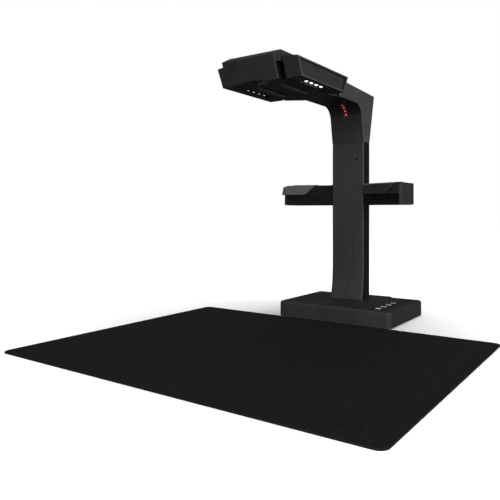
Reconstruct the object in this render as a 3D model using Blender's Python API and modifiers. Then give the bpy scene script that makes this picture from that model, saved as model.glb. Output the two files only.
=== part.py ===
"""Overhead book scanner with its work mat, as separate pieces.

Frame: origin on the table under the middle of the whole footprint, +Z up, +X to the user's right,
+Y away from the user. All sizes are in metres. Inside the "scanner" empty, y = 0 is the base's
front edge, so the mat lies at negative y and the base and column at positive y.
"""
import math

import bmesh
import bpy
from mathutils import Matrix, Vector

# ---------------------------------------------------------------- driving sizes
GAP = 0.0004                # clearance between touching pieces

BASE_W = 0.204
BASE_D = 0.152
BASE_TOP = 0.028            # height of the base's top face
BASE_CORNER = 0.0075
BASE_EDGE = 0.004
BASE_DRAFT = 0.0010         # each side leans in by this much over the height
WALL = 0.0024
FOOT_H = 0.002
FOOT_R = 0.0075
PLATE_T = 0.002             # bottom plate

PLINTH_W = 0.094
PLINTH_FRONT = 0.010
PLINTH_TOP = 0.0325         # at the column
PLINTH_EDGE = 0.0018        # step down to the base top at the plinth's sides

COL_W = 0.0596
COL_FRONT = 0.0630
COL_BACK = 0.0885
COL_TOP = 0.3035
COL_SPLIT = 0.0780          # between the front and the rear cover
COL_SWEEP = 0.0085          # how far the foot sweeps forward
COL_SWEEP_TOP = 0.1150      # where the sweep starts
GROOVES = 6
GROOVE_W = 0.0028
GROOVE_DEPTH = 0.0010
GROOVE_PITCH = 0.0064
GROOVE_X0 = -0.0220         # first groove's middle
GROOVE_TOP = 0.1780

ARM_W = COL_W
ARM_TOP = 0.3935
ARM_FRONT = -0.0300         # where the arm meets the head covers
ARM_PEAK = (0.1090, 0.3890) # rear top corner (y, z)
ARM_WALL = 0.0024

HEAD_W = 0.0828
HEAD_FRONT = -0.2400        # top of the front face
HEAD_LIP = -0.2280          # bottom of the front face
HEAD_BROW = 0.3845          # height of the front face's top edge
HEAD_TOP = ARM_TOP
HEAD_BROW_Y = -0.2220       # where the brow reaches the top face
HEAD_BOTTOM = 0.3545
HEAD_TAPER = -0.0800        # the head narrows to the arm behind this

POD_IN = HEAD_W / 2 + GAP
POD_OUT = 0.0650
POD_FRONT = -0.2199
POD_BACK = -0.0710
POD_TOP = 0.3860             # at the head; the top slopes down outwards by POD_SLOPE
POD_SLOPE = 0.0026
POD_BOTTOM = 0.3590
POD_RAKE = 0.0125           # front and rear faces lean in by this much at the bottom
POD_LEAN = 0.0006           # the outer face leans in by this much at the bottom
LEDS = 4
LED_PITCH = 0.0139
LED_FIRST = -0.1664         # first LED's middle (y)
LED_X = 0.0480
LED_R = 0.0038

LENS_Y = -0.2000
LENS_R = 0.0075

BAR_BOTTOM = 0.1955
BAR_H = 0.0365
BAR_HALF = 0.1105           # from the middle to a wing's end
BAR_ROOT_Y = 0.0540         # front line of the wing at the clip
BAR_TIP_Y = 0.0230          # and at its tip
BAR_BACK_Y = 0.0850
HOOD_H = 0.0170             # height of the hood over the lamp
HOOD_BACK = 0.0110          # the wing's body stands this far behind the hood's front
HOOD_START = 0.0200         # from the clip to the hood's upper inner corner
HOOD_SLANT = 0.0170
HOOD_LEAN = 0.0055
CLIP_GAP = 0.0006
CLIP_WALL = 0.0040
CLIP_FRONT = 0.0560
CLIP_BACK = 0.0080

MAT_W = 0.525
MAT_D = 0.423
MAT_T = 0.002
MAT_CORNER = 0.010

KEYS = 4
KEY_X = 0.0745
KEY_FIRST = 0.0200          # first key's middle (y)
KEY_PITCH = 0.0215
KEY_W = 0.0130
KEY_D = 0.0150
KEY_TRAVEL = 0.0008
KEY_UNDER = 0.0028          # a key's underside below the base's top face

FRONT_Y = (MAT_D + GAP - BASE_D) / 2     # puts the footprint's middle at the origin

# ---------------------------------------------------------------- tools
for old in list(bpy.data.objects):
    bpy.data.objects.remove(old, do_unlink=True)

parts = bpy.data.collections.new("book_scanner")
cutters = bpy.data.collections.new("cutters")
bpy.context.scene.collection.children.link(parts)
bpy.context.scene.collection.children.link(cutters)

scanner = bpy.data.objects.new("scanner", None)
scanner.location = (0, FRONT_Y, 0)
parts.objects.link(scanner)


def material(name, colour, roughness=0.5, metallic=0.0):
    """A Principled material with one colour."""
    mat = bpy.data.materials.new(name)
    mat.use_nodes = True
    shader = mat.node_tree.nodes["Principled BSDF"]
    shader.inputs["Base Color"].default_value = (*colour, 1)
    shader.inputs["Roughness"].default_value = roughness
    shader.inputs["Metallic"].default_value = metallic
    return mat


BLACK = material("black_plastic", (0.028, 0.028, 0.029), 0.55)
TRIM = material("trim_plastic", (0.012, 0.012, 0.013), 0.4)
MARKS = material("key_caps", (0.03, 0.03, 0.032), 0.45)
RUBBER = material("rubber", (0.02, 0.02, 0.02), 0.85)
STEEL = material("steel", (0.55, 0.55, 0.56), 0.35, 1.0)
BOARD = material("circuit_board", (0.02, 0.12, 0.06), 0.5)
LED_WHITE = material("led_white", (0.95, 0.95, 0.92), 0.3)
DIFFUSER = material("diffuser", (0.75, 0.75, 0.74), 0.4)
RED_GLASS = material("laser_glass", (0.3, 0.01, 0.02), 0.1)
GLASS = material("lens_glass", (0.02, 0.02, 0.03), 0.05)
MAT_SURFACE = material("mat_surface", (0.016, 0.016, 0.017), 0.8)


def place(mesh, name, mat, origin=(0, 0, 0)):
    """An object in the scanner whose mesh is given in scanner coordinates."""
    mesh.transform(Matrix.Translation(-Vector(origin)))
    mesh.materials.clear()
    mesh.materials.append(mat)
    obj = bpy.data.objects.new(name, mesh)
    obj.location = origin
    obj.parent = scanner
    parts.objects.link(obj)
    return obj


def helper(mesh, name):
    """An object that only cuts or joins others."""
    obj = bpy.data.objects.new(name, mesh)
    obj.parent = scanner
    obj.hide_render = True
    obj.display_type = "WIRE"
    cutters.objects.link(obj)
    return obj


def cut_by(obj, cutter, name):
    """Subtract a helper object from an object."""
    boolean = obj.modifiers.new(name, "BOOLEAN")
    boolean.operation = "DIFFERENCE"
    boolean.solver = "EXACT"
    boolean.object = cutter


def cut(obj, mesh, name):
    """Subtract a mesh, given in scanner coordinates, from an object."""
    cut_by(obj, helper(mesh, name + "_cutter"), name)


def bevel(obj, width, segments=2, angle=40):
    modifier = obj.modifiers.new("edges", "BEVEL")
    modifier.width = width
    modifier.segments = segments
    modifier.limit_method = "ANGLE"
    modifier.angle_limit = math.radians(angle)
    return obj


def to_mesh(bm, name):
    bmesh.ops.recalc_face_normals(bm, faces=bm.faces)
    mesh = bpy.data.meshes.new(name)
    bm.to_mesh(mesh)
    bm.free()
    return mesh


def box(x, y, z):
    """A box mesh from (low, high) pairs."""
    bm = bmesh.new()
    bmesh.ops.create_cube(bm, size=1)
    size = Vector((x[1] - x[0], y[1] - y[0], z[1] - z[0]))
    middle = Vector((sum(x), sum(y), sum(z))) / 2
    bmesh.ops.scale(bm, verts=bm.verts, vec=size)
    bmesh.ops.translate(bm, verts=bm.verts, vec=middle)
    return to_mesh(bm, "box")


def cylinder(centre, axis, radius, length, sides=24, radius_end=None):
    """A cylinder, or a cone, that starts at centre and runs along axis."""
    bm = bmesh.new()
    end = radius if radius_end is None else radius_end
    bmesh.ops.create_cone(bm, cap_ends=True, segments=sides, radius1=radius, radius2=end, depth=length)
    bmesh.ops.translate(bm, verts=bm.verts, vec=(0, 0, length / 2))
    turn = Vector((0, 0, 1)).rotation_difference(Vector(axis).normalized()).to_matrix()
    bmesh.ops.rotate(bm, verts=bm.verts, cent=(0, 0, 0), matrix=turn)
    bmesh.ops.translate(bm, verts=bm.verts, vec=centre)
    return to_mesh(bm, "cylinder")


def outline(points, low, high, plane):
    """Extrude a flat outline from low to high. plane is "yz" (along X) or "xy" (along Z)."""
    curve = bpy.data.curves.new("outline", "CURVE")
    curve.dimensions = "2D"
    curve.fill_mode = "BOTH"
    curve.extrude = (high - low) / 2
    spline = curve.splines.new("POLY")
    spline.points.add(len(points) - 1)
    for point, (u, v) in zip(spline.points, points):
        point.co = (u, v, 0, 1)
    spline.use_cyclic_u = True
    obj = bpy.data.objects.new("outline", curve)
    parts.objects.link(obj)
    bpy.context.view_layer.update()
    depsgraph = bpy.context.evaluated_depsgraph_get()
    mesh = bpy.data.meshes.new_from_object(obj.evaluated_get(depsgraph))
    bpy.data.objects.remove(obj)
    bpy.data.curves.remove(curve)
    bm = bmesh.new()
    bm.from_mesh(mesh)
    bpy.data.meshes.remove(mesh)
    bmesh.ops.remove_doubles(bm, verts=bm.verts, dist=1e-6)
    middle = (high + low) / 2
    if plane == "yz":
        turn = Matrix(((0, 0, 1, middle), (1, 0, 0, 0), (0, 1, 0, 0), (0, 0, 0, 1)))
    else:
        turn = Matrix.Translation((0, 0, middle))
    bmesh.ops.transform(bm, matrix=turn, verts=bm.verts)
    bmesh.ops.dissolve_limit(bm, angle_limit=0.001, verts=bm.verts, edges=bm.edges)
    return to_mesh(bm, "outline")


def arc(centre, radius, start, end, steps):
    """Points on an arc, angles in degrees."""
    angles = [math.radians(start + (end - start) * i / steps) for i in range(steps + 1)]
    return [(centre[0] + radius * math.cos(a), centre[1] + radius * math.sin(a)) for a in angles]


def rounded_box(x, y, z, corner, edge, draft=0.0, steps=4):
    """A box with round vertical corners, a round top edge and sides that lean in."""
    bm = bmesh.new()
    bmesh.ops.create_cube(bm, size=1)
    for v in bm.verts:
        inset = draft if v.co.z > 0 else 0.0
        v.co.x = x[0] + inset if v.co.x < 0 else x[1] - inset
        v.co.y = y[0] + inset if v.co.y < 0 else y[1] - inset
        v.co.z = z[0] if v.co.z < 0 else z[1]
    upright = [e for e in bm.edges if abs(e.verts[0].co.z - e.verts[1].co.z) > (z[1] - z[0]) / 2]
    bmesh.ops.bevel(bm, geom=upright, offset=corner, segments=steps, profile=0.5, affect="EDGES")
    if edge:
        top = [e for e in bm.edges if all(v.co.z > z[1] - 1e-6 for v in e.verts)]
        bmesh.ops.bevel(bm, geom=top, offset=edge, segments=3, profile=0.5, affect="EDGES")
    return to_mesh(bm, "rounded_box")


def hull(points, name):
    """The convex solid round a set of points."""
    bm = bmesh.new()
    for point in points:
        bm.verts.new(point)
    found = bmesh.ops.convex_hull(bm, input=bm.verts)
    bmesh.ops.delete(bm, geom=list({v for v in found["geom_interior"] if isinstance(v, bmesh.types.BMVert)}),
                     context="VERTS")
    return to_mesh(bm, name)


def join(obj, mesh, name):
    """Add a mesh, given in scanner coordinates, to an object."""
    cut(obj, mesh, name)
    obj.modifiers[-1].operation = "UNION"


def mirrored(mesh):
    """A copy of a mesh on the other side of x = 0."""
    bm = bmesh.new()
    bm.from_mesh(mesh)
    bmesh.ops.scale(bm, verts=bm.verts, vec=(-1, 1, 1))
    bmesh.ops.reverse_faces(bm, faces=bm.faces)
    return to_mesh(bm, "mirrored")


SIDES = (("left", -1), ("right", 1))


def sided(mesh, sign):
    """The mesh as made for the right, or its mirror image for the left."""
    return mesh if sign > 0 else mirrored(mesh)


def span(low, high, sign=1):
    """A (low, high) pair, on the right or mirrored to the left."""
    return (low, high) if sign > 0 else (-high, -low)


# ---------------------------------------------------------------- base
SKIRT = FOOT_H
PLATE_X = BASE_W / 2 - WALL - GAP
PLATE_Y = (WALL + GAP, BASE_D - WALL - GAP)
PORTS = (("power_inlet", -0.030, 0.0100, 0.0090), ("usb_socket", 0.002, 0.0130, 0.0068),
         ("video_socket", 0.030, 0.0160, 0.0068))
PORT_Z = 0.0115
PORT_DEEP = 0.0100
PORT_WALL = 0.0007


def foot_profile(height):
    """How far the column's front stands forward of COL_FRONT at this height."""
    if height >= COL_SWEEP_TOP:
        return 0.0
    share = (COL_SWEEP_TOP - height) / (COL_SWEEP_TOP - PLINTH_TOP)
    return COL_SWEEP * share ** 3


def make_base():
    """The base top cover with its plinth, and the bottom plate, ballast, feet and screws."""
    cover = place(rounded_box((-BASE_W / 2, BASE_W / 2), (0, BASE_D), (SKIRT, BASE_TOP), BASE_CORNER,
                              BASE_EDGE, BASE_DRAFT), "base_top_cover", BLACK)
    half = PLINTH_W / 2
    back = BASE_D - BASE_EDGE - BASE_DRAFT - 0.0005
    top = COL_W / 2 + 0.004
    wedge = [(s * half, y, BASE_TOP + dz) for s in (-1, 1)
             for y, dz in ((PLINTH_FRONT, -0.001), (back, -0.001), (back, PLINTH_EDGE), (0.060, PLINTH_EDGE))]
    wedge += [(s * top, y, PLINTH_TOP) for s in (-1, 1)
              for y in (COL_FRONT - COL_SWEEP - 0.004, COL_BACK + 0.010)]
    join(cover, hull(wedge, "plinth"), "plinth")
    inner = rounded_box((-BASE_W / 2 + WALL, BASE_W / 2 - WALL), (WALL, BASE_D - WALL),
                        (SKIRT - 0.001, BASE_TOP - WALL), BASE_CORNER - WALL, 0, BASE_DRAFT)
    cut(cover, inner, "inside")
    cut(cover, box((-FRAME_X - GAP, FRAME_X + GAP), (FRAME_Y[0] - GAP, FRAME_Y[1] + GAP), (0.020, 0.040)),
        "frame_hole")
    for name, x, width, height in PORTS:
        hole = box((x - width / 2 - GAP, x + width / 2 + GAP), (BASE_D - 0.010, BASE_D + 0.010),
                   (PORT_Z - height / 2 - GAP, PORT_Z + height / 2 + GAP))
        cut(cover, hole, name + "_hole")
    panel_recess = box(PANEL_X_CUT, PANEL_Y_CUT, (BASE_TOP - PANEL_T, BASE_TOP + 0.01))
    cut(cover, panel_recess, "panel_recess")
    for y in KEY_YS:
        well = box((KEY_X - KEY_W / 2 - 0.0010, KEY_X + KEY_W / 2 + 0.0010),
                   (y - KEY_D / 2 - 0.0010, y + KEY_D / 2 + 0.0010), (BASE_TOP - 0.006, BASE_TOP + 0.001))
        cut(cover, well, "key_well")

    plate = place(rounded_box((-PLATE_X, PLATE_X), PLATE_Y, (SKIRT, SKIRT + PLATE_T),
                              BASE_CORNER - WALL - GAP, 0), "base_bottom_plate", TRIM)
    feet = [(x, y) for x in (-0.080, 0.080) for y in (0.022, BASE_D - 0.022)]
    corners = ("front_left", "rear_left", "front_right", "rear_right")
    for corner, (x, y) in zip(corners, feet):
        foot = place(cylinder((x, y, 0), (0, 0, 1), FOOT_R - 0.001, FOOT_H - 0.0003, 20, FOOT_R),
                     "foot_" + corner, RUBBER)
        foot.data.shade_smooth()
        foot.data.set_sharp_from_angle(angle=math.radians(40))
        sx = math.copysign(SCREW_X, x)
        sy = SCREW_Y[0] if y < BASE_D / 2 else SCREW_Y[1]
        cut(plate, cylinder((sx, sy, 0), (0, 0, 1), SCREW_R + 0.0003, 0.01, 16), "screw_hole")
        make_screw("base_screw_" + corner, (sx, sy, SKIRT), (0, 0, 1))
    ballast = box((-0.088, 0.060), (0.012, BASE_D - 0.024), (BALLAST_Z, BALLAST_Z + BALLAST_T))
    place(ballast, "ballast_plate", STEEL)
    board = box((-0.050, 0.050), (BASE_D - 0.023, BASE_D - 0.0035), (0.0045, 0.0060))
    place(board, "main_board", BOARD)
    for name, x, width, height in PORTS:
        socket = place(box((x - width / 2, x + width / 2), (BASE_D - PORT_DEEP - 0.0012, BASE_D - 0.0012),
                           (PORT_Z - height / 2, PORT_Z + height / 2)), name, STEEL)
        cut(socket, box((x - width / 2 + PORT_WALL, x + width / 2 - PORT_WALL),
                        (BASE_D - PORT_DEEP, BASE_D + 0.002),
                        (PORT_Z - height / 2 + PORT_WALL, PORT_Z + height / 2 - PORT_WALL)), "mouth")


SCREW_X = 0.0920
SCREW_Y = (0.040, BASE_D - 0.040)
SCREW_R = 0.0030
BALLAST_Z = SKIRT + PLATE_T + GAP
BALLAST_T = 0.008


def make_screw(name, head, axis):
    """A flat screw head with a shank; head is the middle of the head's outer face."""
    head_mesh = cylinder(head, axis, SCREW_R, 0.0016, 16)
    screw = place(head_mesh, name, STEEL)
    neck = Vector(head) + Vector(axis) * 0.0008
    join(screw, cylinder(neck, axis, SCREW_R * 0.45, 0.0062, 12), "shank")


# ---------------------------------------------------------------- keys
PANEL_T = 0.0012
PANEL_MARGIN = 0.0040
KEY_YS = [KEY_FIRST + KEY_PITCH * i for i in range(KEYS)]
PANEL_X = (KEY_X - KEY_W / 2 - PANEL_MARGIN, KEY_X + KEY_W / 2 + PANEL_MARGIN)
PANEL_Y = (KEY_YS[0] - KEY_D / 2 - PANEL_MARGIN, KEY_YS[-1] + KEY_D / 2 + PANEL_MARGIN)
PANEL_X_CUT = (PANEL_X[0] - GAP, PANEL_X[1] + GAP)
PANEL_Y_CUT = (PANEL_Y[0] - GAP, PANEL_Y[1] + GAP)
KEY_NAMES = ("scan_key", "light_key", "mode_key", "power_key")


def make_keys():
    """The flush key panel, the keys, which sink by KEY_TRAVEL, and the board under them."""
    board_top = BASE_TOP - KEY_UNDER - KEY_TRAVEL - GAP
    place(box((PANEL_X[0] + 0.001, PANEL_X[1] - 0.001), (PANEL_Y[0] + 0.002, PANEL_Y[1] - 0.002),
              (board_top - 0.0016, board_top)), "key_board", BOARD)
    panel = place(box(PANEL_X, PANEL_Y, (BASE_TOP - PANEL_T + 0.0003, BASE_TOP + 0.0003)), "key_panel", TRIM)
    for name, y in zip(KEY_NAMES, KEY_YS):
        hole = box((KEY_X - KEY_W / 2 - GAP, KEY_X + KEY_W / 2 + GAP),
                   (y - KEY_D / 2 - GAP, y + KEY_D / 2 + GAP), (BASE_TOP - 0.005, BASE_TOP + 0.005))
        cut(panel, hole, "key_hole")
        origin = (KEY_X, y, BASE_TOP)
        cap = box((KEY_X - KEY_W / 2, KEY_X + KEY_W / 2), (y - KEY_D / 2, y + KEY_D / 2),
                  (BASE_TOP - KEY_UNDER, BASE_TOP + 0.0009))
        key = place(cap, name, MARKS, origin)
        bevel(key, 0.0005, 1)


# ---------------------------------------------------------------- column
FRAME_X = 0.0160
FRAME_Y = (COL_FRONT + 0.0055, COL_SPLIT - 0.0010)
SENSOR = (0.0165, 0.2754)
SENSOR_R = 0.0020


def column_front_path(offset=0.0, low=PLINTH_TOP, high=COL_TOP):
    """The column's front line from bottom to top as (y, z), moved back by offset."""
    heights = [low + (COL_SWEEP_TOP - low) * i / 8 for i in range(9)] + [high]
    return [(COL_FRONT - foot_profile(max(h, PLINTH_TOP)) + offset, h) for h in heights]


def make_column():
    """Front and rear covers round a steel upright, with the grooved lower front."""
    half = COL_W / 2
    low = PLINTH_TOP + GAP
    path = column_front_path(0.0, low)
    front = place(outline(path + [(COL_SPLIT, COL_TOP), (COL_SPLIT, low)], -half, half, "yz"),
                  "column_front_cover", BLACK)
    bevel(front, 0.0022, 2, 60)
    inner = column_front_path(WALL, low - 0.01, COL_TOP - WALL)
    cut(front, outline(inner + [(COL_SPLIT + 0.01, COL_TOP - WALL), (COL_SPLIT + 0.01, low - 0.01)],
                       -half + WALL, half - WALL, "yz"), "inside")
    groove_back = column_front_path(GROOVE_DEPTH, low - 0.01, GROOVE_TOP)
    groove = groove_back[:-1] + [(COL_FRONT + GROOVE_DEPTH, GROOVE_TOP - 0.03), (COL_FRONT, GROOVE_TOP)]
    groove = groove + [(COL_FRONT - 0.03, GROOVE_TOP), (COL_FRONT - 0.03, low - 0.01)]
    for i in range(GROOVES):
        x = GROOVE_X0 + GROOVE_PITCH * i
        cut(front, outline(groove, x - GROOVE_W / 2, x + GROOVE_W / 2, "yz"), "groove")
    cut(front, cylinder((SENSOR[0], COL_FRONT - 0.005, SENSOR[1]), (0, 1, 0), SENSOR_R + 0.0003, 0.012, 16),
        "sensor_hole")
    eye = place(cylinder((SENSOR[0], COL_FRONT + 0.0002, SENSOR[1]), (0, 1, 0), SENSOR_R, 0.0030, 16),
                "sensor_window", GLASS)
    eye.data.shade_smooth()
    eye.data.set_sharp_from_angle(angle=math.radians(40))

    rear = place(box((-half, half), (COL_SPLIT + 0.0003, COL_BACK), (low, COL_TOP)),
                 "column_rear_cover", TRIM)
    bevel(rear, 0.0016, 2, 60)
    cut(rear, box((-half + WALL, half - WALL), (COL_SPLIT - 0.01, COL_BACK - WALL),
                  (low - 0.01, COL_TOP - WALL)), "inside")
    frame = box((-FRAME_X, FRAME_X), FRAME_Y, (BALLAST_Z + BALLAST_T + GAP, COL_TOP - WALL - GAP))
    place(frame, "column_upright", STEEL)


# ---------------------------------------------------------------- neck and arm
FILLET = 0.019
NECK_BOTTOM = COL_TOP + 0.0003
NECK_LEAN = 0.0075          # how far the neck's front leans forward up to the fillet
SKIN = 0.0085               # depth of the inner cover, from its face to the shell's side plates
BELLY = 0.3662              # underside of the arm


def inner_path(offset=0.0, front=ARM_FRONT, bottom=NECK_BOTTOM):
    """The inside line of neck and arm, from the seam up and forward as (y, z), moved back by offset."""
    centre = (COL_FRONT - NECK_LEAN - FILLET, BELLY - FILLET)
    turn = arc(centre, FILLET + offset, 0, 90, 8)
    return [(COL_FRONT + offset, bottom), (COL_FRONT - NECK_LEAN * 0.3 + offset, 0.3200)] + turn \
        + [(front, BELLY + offset)]


def make_arm():
    """The outer shell of neck and arm, and the inner cover that closes it along the inside corner."""
    half = ARM_W / 2
    edge = inner_path(SKIN + GAP)
    side = [(ARM_FRONT, ARM_TOP), (0.0020, ARM_TOP), ARM_PEAK, (COL_BACK, NECK_BOTTOM)]
    shell = place(outline(side + edge, -half, half, "yz"), "arm_outer_shell", BLACK)
    bevel(shell, 0.0010, 1, 60)
    hollow = [(ARM_FRONT - 0.01, ARM_TOP - ARM_WALL), (0.0020, ARM_TOP - ARM_WALL),
              (ARM_PEAK[0] - ARM_WALL, ARM_PEAK[1] - ARM_WALL), (COL_BACK - ARM_WALL, NECK_BOTTOM - 0.002),
              (0.040, NECK_BOTTOM - 0.002), (0.040, 0.330), (ARM_FRONT - 0.01, 0.330)]
    cut(shell, outline(hollow, -half + ARM_WALL, half - ARM_WALL, "yz"), "inside")

    cover = place(outline(inner_path() + inner_path(SKIN)[::-1], -half, half, "yz"), "arm_inner_cover", BLACK)
    bevel(cover, 0.0016, 2, 60)
    inside = inner_path(WALL, ARM_FRONT + WALL, NECK_BOTTOM + WALL)
    beyond = inner_path(SKIN + 0.01, ARM_FRONT + WALL, NECK_BOTTOM + WALL)
    cut(cover, outline(inside + beyond[::-1], -half + WALL, half - WALL, "yz"), "inside")
    return cover


# ---------------------------------------------------------------- laser
LASER_W = 0.0080
LASERS = 4
LASER_R = 0.0017
LASER_T = 0.0012


def make_laser(cover):
    """The curved window in the inside corner, the module behind it and its four lenses."""
    centre = (COL_FRONT - NECK_LEAN - FILLET, BELLY - FILLET)
    first, last = 3, 86
    slot = arc(centre, FILLET + 0.02, first, last, 6) + arc(centre, FILLET - 0.005, last, first, 6)
    cut(cover, outline(slot, -LASER_W / 2 - GAP, LASER_W / 2 + GAP, "yz"), "laser_slot")
    inset = 0.0008
    band = arc(centre, FILLET + inset + LASER_T, first + 1.5, last - 1.5, 6)
    band = band + arc(centre, FILLET + inset, last - 1.5, first + 1.5, 6)
    place(outline(band, -LASER_W / 2, LASER_W / 2, "yz"), "laser_window", RED_GLASS)
    start = FILLET + inset + LASER_T + GAP + 0.0030
    block = arc(centre, start + 0.006, first + 8, last - 8, 4) + arc(centre, start, last - 8, first + 8, 4)
    module = place(outline(block, -0.010, 0.010, "yz"), "laser_module", STEEL)
    for i in range(LASERS):
        angle = math.radians(first + 11 + (last - first - 22) * i / (LASERS - 1))
        out = Vector((0, math.cos(angle), math.sin(angle)))
        foot = Vector((0, *centre)) + out * (FILLET + inset + LASER_T + GAP)
        lens = place(cylinder(foot, out, LASER_R, 0.0045, 12), "laser_lens_%d" % (i + 1), RED_GLASS)
        lens.data.shade_smooth()
        lens.data.set_sharp_from_angle(angle=math.radians(40))
        cut(module, cylinder(foot, out, LASER_R + 0.0003, 0.0060, 12), "lens_seat")


# ---------------------------------------------------------------- head
HEAD_BACK = ARM_FRONT - 0.0003
FLOOR_Z = 0.3590            # underside of the bottom cover
FLOOR_T = 0.0022
HEAD_SIDE = 0.3700          # the top cover's side walls reach down to here
TRAY_TOP = 0.3850           # the bottom cover's side walls reach up to here, inside the top cover
NOTCH_IN = 0.0330           # recess between the front face and each pod
NOTCH_Y = (HEAD_LIP + 0.0015, POD_FRONT + 0.0060)
NOTCH_TOP = (0.3760, 0.3810)


def head_plan(width, front, back, shrink=0.0):
    """The head's plan outline: straight sides that narrow to the arm at the back."""
    half = width / 2 - shrink
    tail = ARM_W / 2 - shrink
    return [(-half, front), (half, front), (half, HEAD_TAPER),
            (tail, back), (-tail, back), (-half, HEAD_TAPER)]


def tray_plan(front, back, shrink):
    """The bottom cover's plan: as the head's, with a notch at each front corner."""
    half = HEAD_W / 2 - WALL - GAP - shrink
    tail = ARM_W / 2 - WALL - GAP - shrink
    notch = NOTCH_IN - shrink
    step = NOTCH_Y[1] + shrink
    right = [(notch, front), (notch, step), (half, step), (half, HEAD_TAPER), (tail, back)]
    return right + [(-x, y) for x, y in reversed(right)]


def keep_inside(obj, mesh, name):
    """Keep only what lies inside the mesh."""
    cut(obj, mesh, name)
    obj.modifiers[-1].operation = "INTERSECT"


def make_head():
    """Top and bottom covers of the head, with the camera between them."""
    half = HEAD_W / 2
    side = [(HEAD_LIP, HEAD_BOTTOM), (HEAD_FRONT, HEAD_BROW), (HEAD_BROW_Y, HEAD_TOP), (HEAD_BACK, HEAD_TOP),
            (HEAD_BACK, HEAD_SIDE), (HEAD_LIP + 0.006, HEAD_SIDE), (HEAD_LIP + 0.004, HEAD_BOTTOM)]
    top = place(outline(side, -half, half, "yz"), "head_top_cover", BLACK)
    keep_inside(top, outline(head_plan(HEAD_W, HEAD_FRONT - 0.02, HEAD_BACK), 0.34, 0.41, "xy"), "plan")
    inside = [(HEAD_LIP + 0.0030, HEAD_BOTTOM + 0.010), (HEAD_FRONT + WALL, HEAD_BROW),
              (HEAD_BROW_Y, HEAD_TOP - WALL), (HEAD_BACK + 0.01, HEAD_TOP - WALL),
              (HEAD_BACK + 0.01, HEAD_SIDE - 0.01), (HEAD_LIP + 0.0050, HEAD_SIDE - 0.01)]
    hollow_plan = outline(head_plan(HEAD_W, HEAD_FRONT - 0.02, HEAD_BACK + 0.01, WALL), 0.34, 0.41, "xy")
    hollow = helper(outline(inside, -half, half, "yz"), "head_hollow")
    keep_inside(hollow, hollow_plan, "hollow_plan")
    cut_by(top, hollow, "inside")

    notch_side = [(HEAD_FRONT + 0.0045, HEAD_SIDE - 0.002), (HEAD_FRONT + 0.0030, NOTCH_TOP[0]),
                  (NOTCH_Y[1], NOTCH_TOP[1]), (NOTCH_Y[1], HEAD_SIDE - 0.002)]
    for side, sign in SIDES:
        notch = outline(notch_side, half - WALL - 0.001, half + 0.002, "yz")
        cut(top, sided(notch, sign), "notch_" + side)

    low = HEAD_LIP + 0.0060 + GAP
    plan = tray_plan(low, HEAD_BACK - GAP, 0.0)
    floor = place(outline(plan, FLOOR_Z - 0.01, TRAY_TOP + 0.01, "xy"), "head_bottom_cover", BLACK)
    keep = [(low - 0.01, FLOOR_Z), (HEAD_TAPER, FLOOR_Z), (HEAD_BACK, BELLY), (HEAD_BACK, TRAY_TOP - 0.002),
            (low + 0.020, TRAY_TOP - 0.002), (low - 0.01, TRAY_TOP - 0.012)]
    keep_inside(floor, outline(keep, -half, half, "yz"), "belly")
    inner = [(low - 0.01, FLOOR_Z + FLOOR_T), (HEAD_TAPER, FLOOR_Z + FLOOR_T),
             (HEAD_BACK + 0.01, BELLY + FLOOR_T + 0.001),
             (HEAD_BACK + 0.01, TRAY_TOP + 0.01), (low - 0.01, TRAY_TOP + 0.01)]
    hollow = helper(outline(inner, -half, half, "yz"), "tray_hollow")
    room_plan = tray_plan(low + FLOOR_T, HEAD_BACK - FLOOR_T, FLOOR_T)
    keep_inside(hollow, outline(room_plan, 0.34, 0.41, "xy"), "tray_plan")
    cut_by(floor, hollow, "inside")
    cut(floor, cylinder((0, LENS_Y, FLOOR_Z - 0.005), (0, 0, 1), WINDOW_R + 0.0003, 0.02, 24), "camera_hole")


WINDOW_R = 0.0110
WINDOW_T = 0.0012


def make_camera():
    """Window, lens glass, lens barrel and sensor module, stacked upwards."""
    window = place(cylinder((0, LENS_Y, FLOOR_Z + 0.0003), (0, 0, 1), WINDOW_R, WINDOW_T, 24),
                   "camera_window", GLASS)
    glass_z = FLOOR_Z + 0.0003 + WINDOW_T + GAP
    glass = place(cylinder((0, LENS_Y, glass_z), (0, 0, 1), LENS_R - 0.0020, 0.0025, 20), "lens_glass", GLASS)
    barrel = place(cylinder((0, LENS_Y, glass_z), (0, 0, 1), LENS_R, 0.0130, 24), "lens_barrel", TRIM)
    cut(barrel, cylinder((0, LENS_Y, glass_z - 0.001), (0, 0, 1), LENS_R - 0.0017, 0.0040, 20), "lens_seat")
    for obj in (window, glass, barrel):
        obj.data.shade_smooth()
        obj.data.set_sharp_from_angle(angle=math.radians(40))
    module_z = glass_z + 0.0130 + GAP
    place(box((-0.014, 0.014), (LENS_Y - 0.014, LENS_Y + 0.014), (module_z, module_z + 0.0050)),
          "camera_module", BOARD)
    place(box((-0.030, 0.030), (-0.165, HEAD_TAPER - 0.002), (0.3700, 0.3716)), "head_board", BOARD)


# ---------------------------------------------------------------- light pods
PANEL_INSET = 0.0009
FRAME_EDGE = 0.0038
RECESS_X = (0.0434, 0.0585)
RECESS_Y = (-0.1800, -0.1020)
RECESS_Z = 0.3650


def pod_outline(inset=0.0):
    """The pod's side outline as (y, z), front and rear faces leaning in at the bottom."""
    top = POD_TOP - inset * 0.6
    low = POD_BOTTOM + inset * 0.6
    rake = POD_RAKE + inset * 0.7
    return [(POD_FRONT + inset, top), (POD_FRONT + rake, low),
            (POD_BACK - rake, low), (POD_BACK - inset, top)]


def leaned(mesh):
    """Slope the top down outwards, and lean the outer face in towards the bottom."""
    for v in mesh.vertices:
        height = (v.co.z - POD_BOTTOM) / (POD_TOP - POD_BOTTOM)
        outward = (v.co.x - POD_IN) / (POD_OUT - POD_IN)
        v.co.z -= POD_SLOPE * height * outward
        v.co.x -= POD_LEAN * (1 - height) * outward
    return mesh


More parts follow.
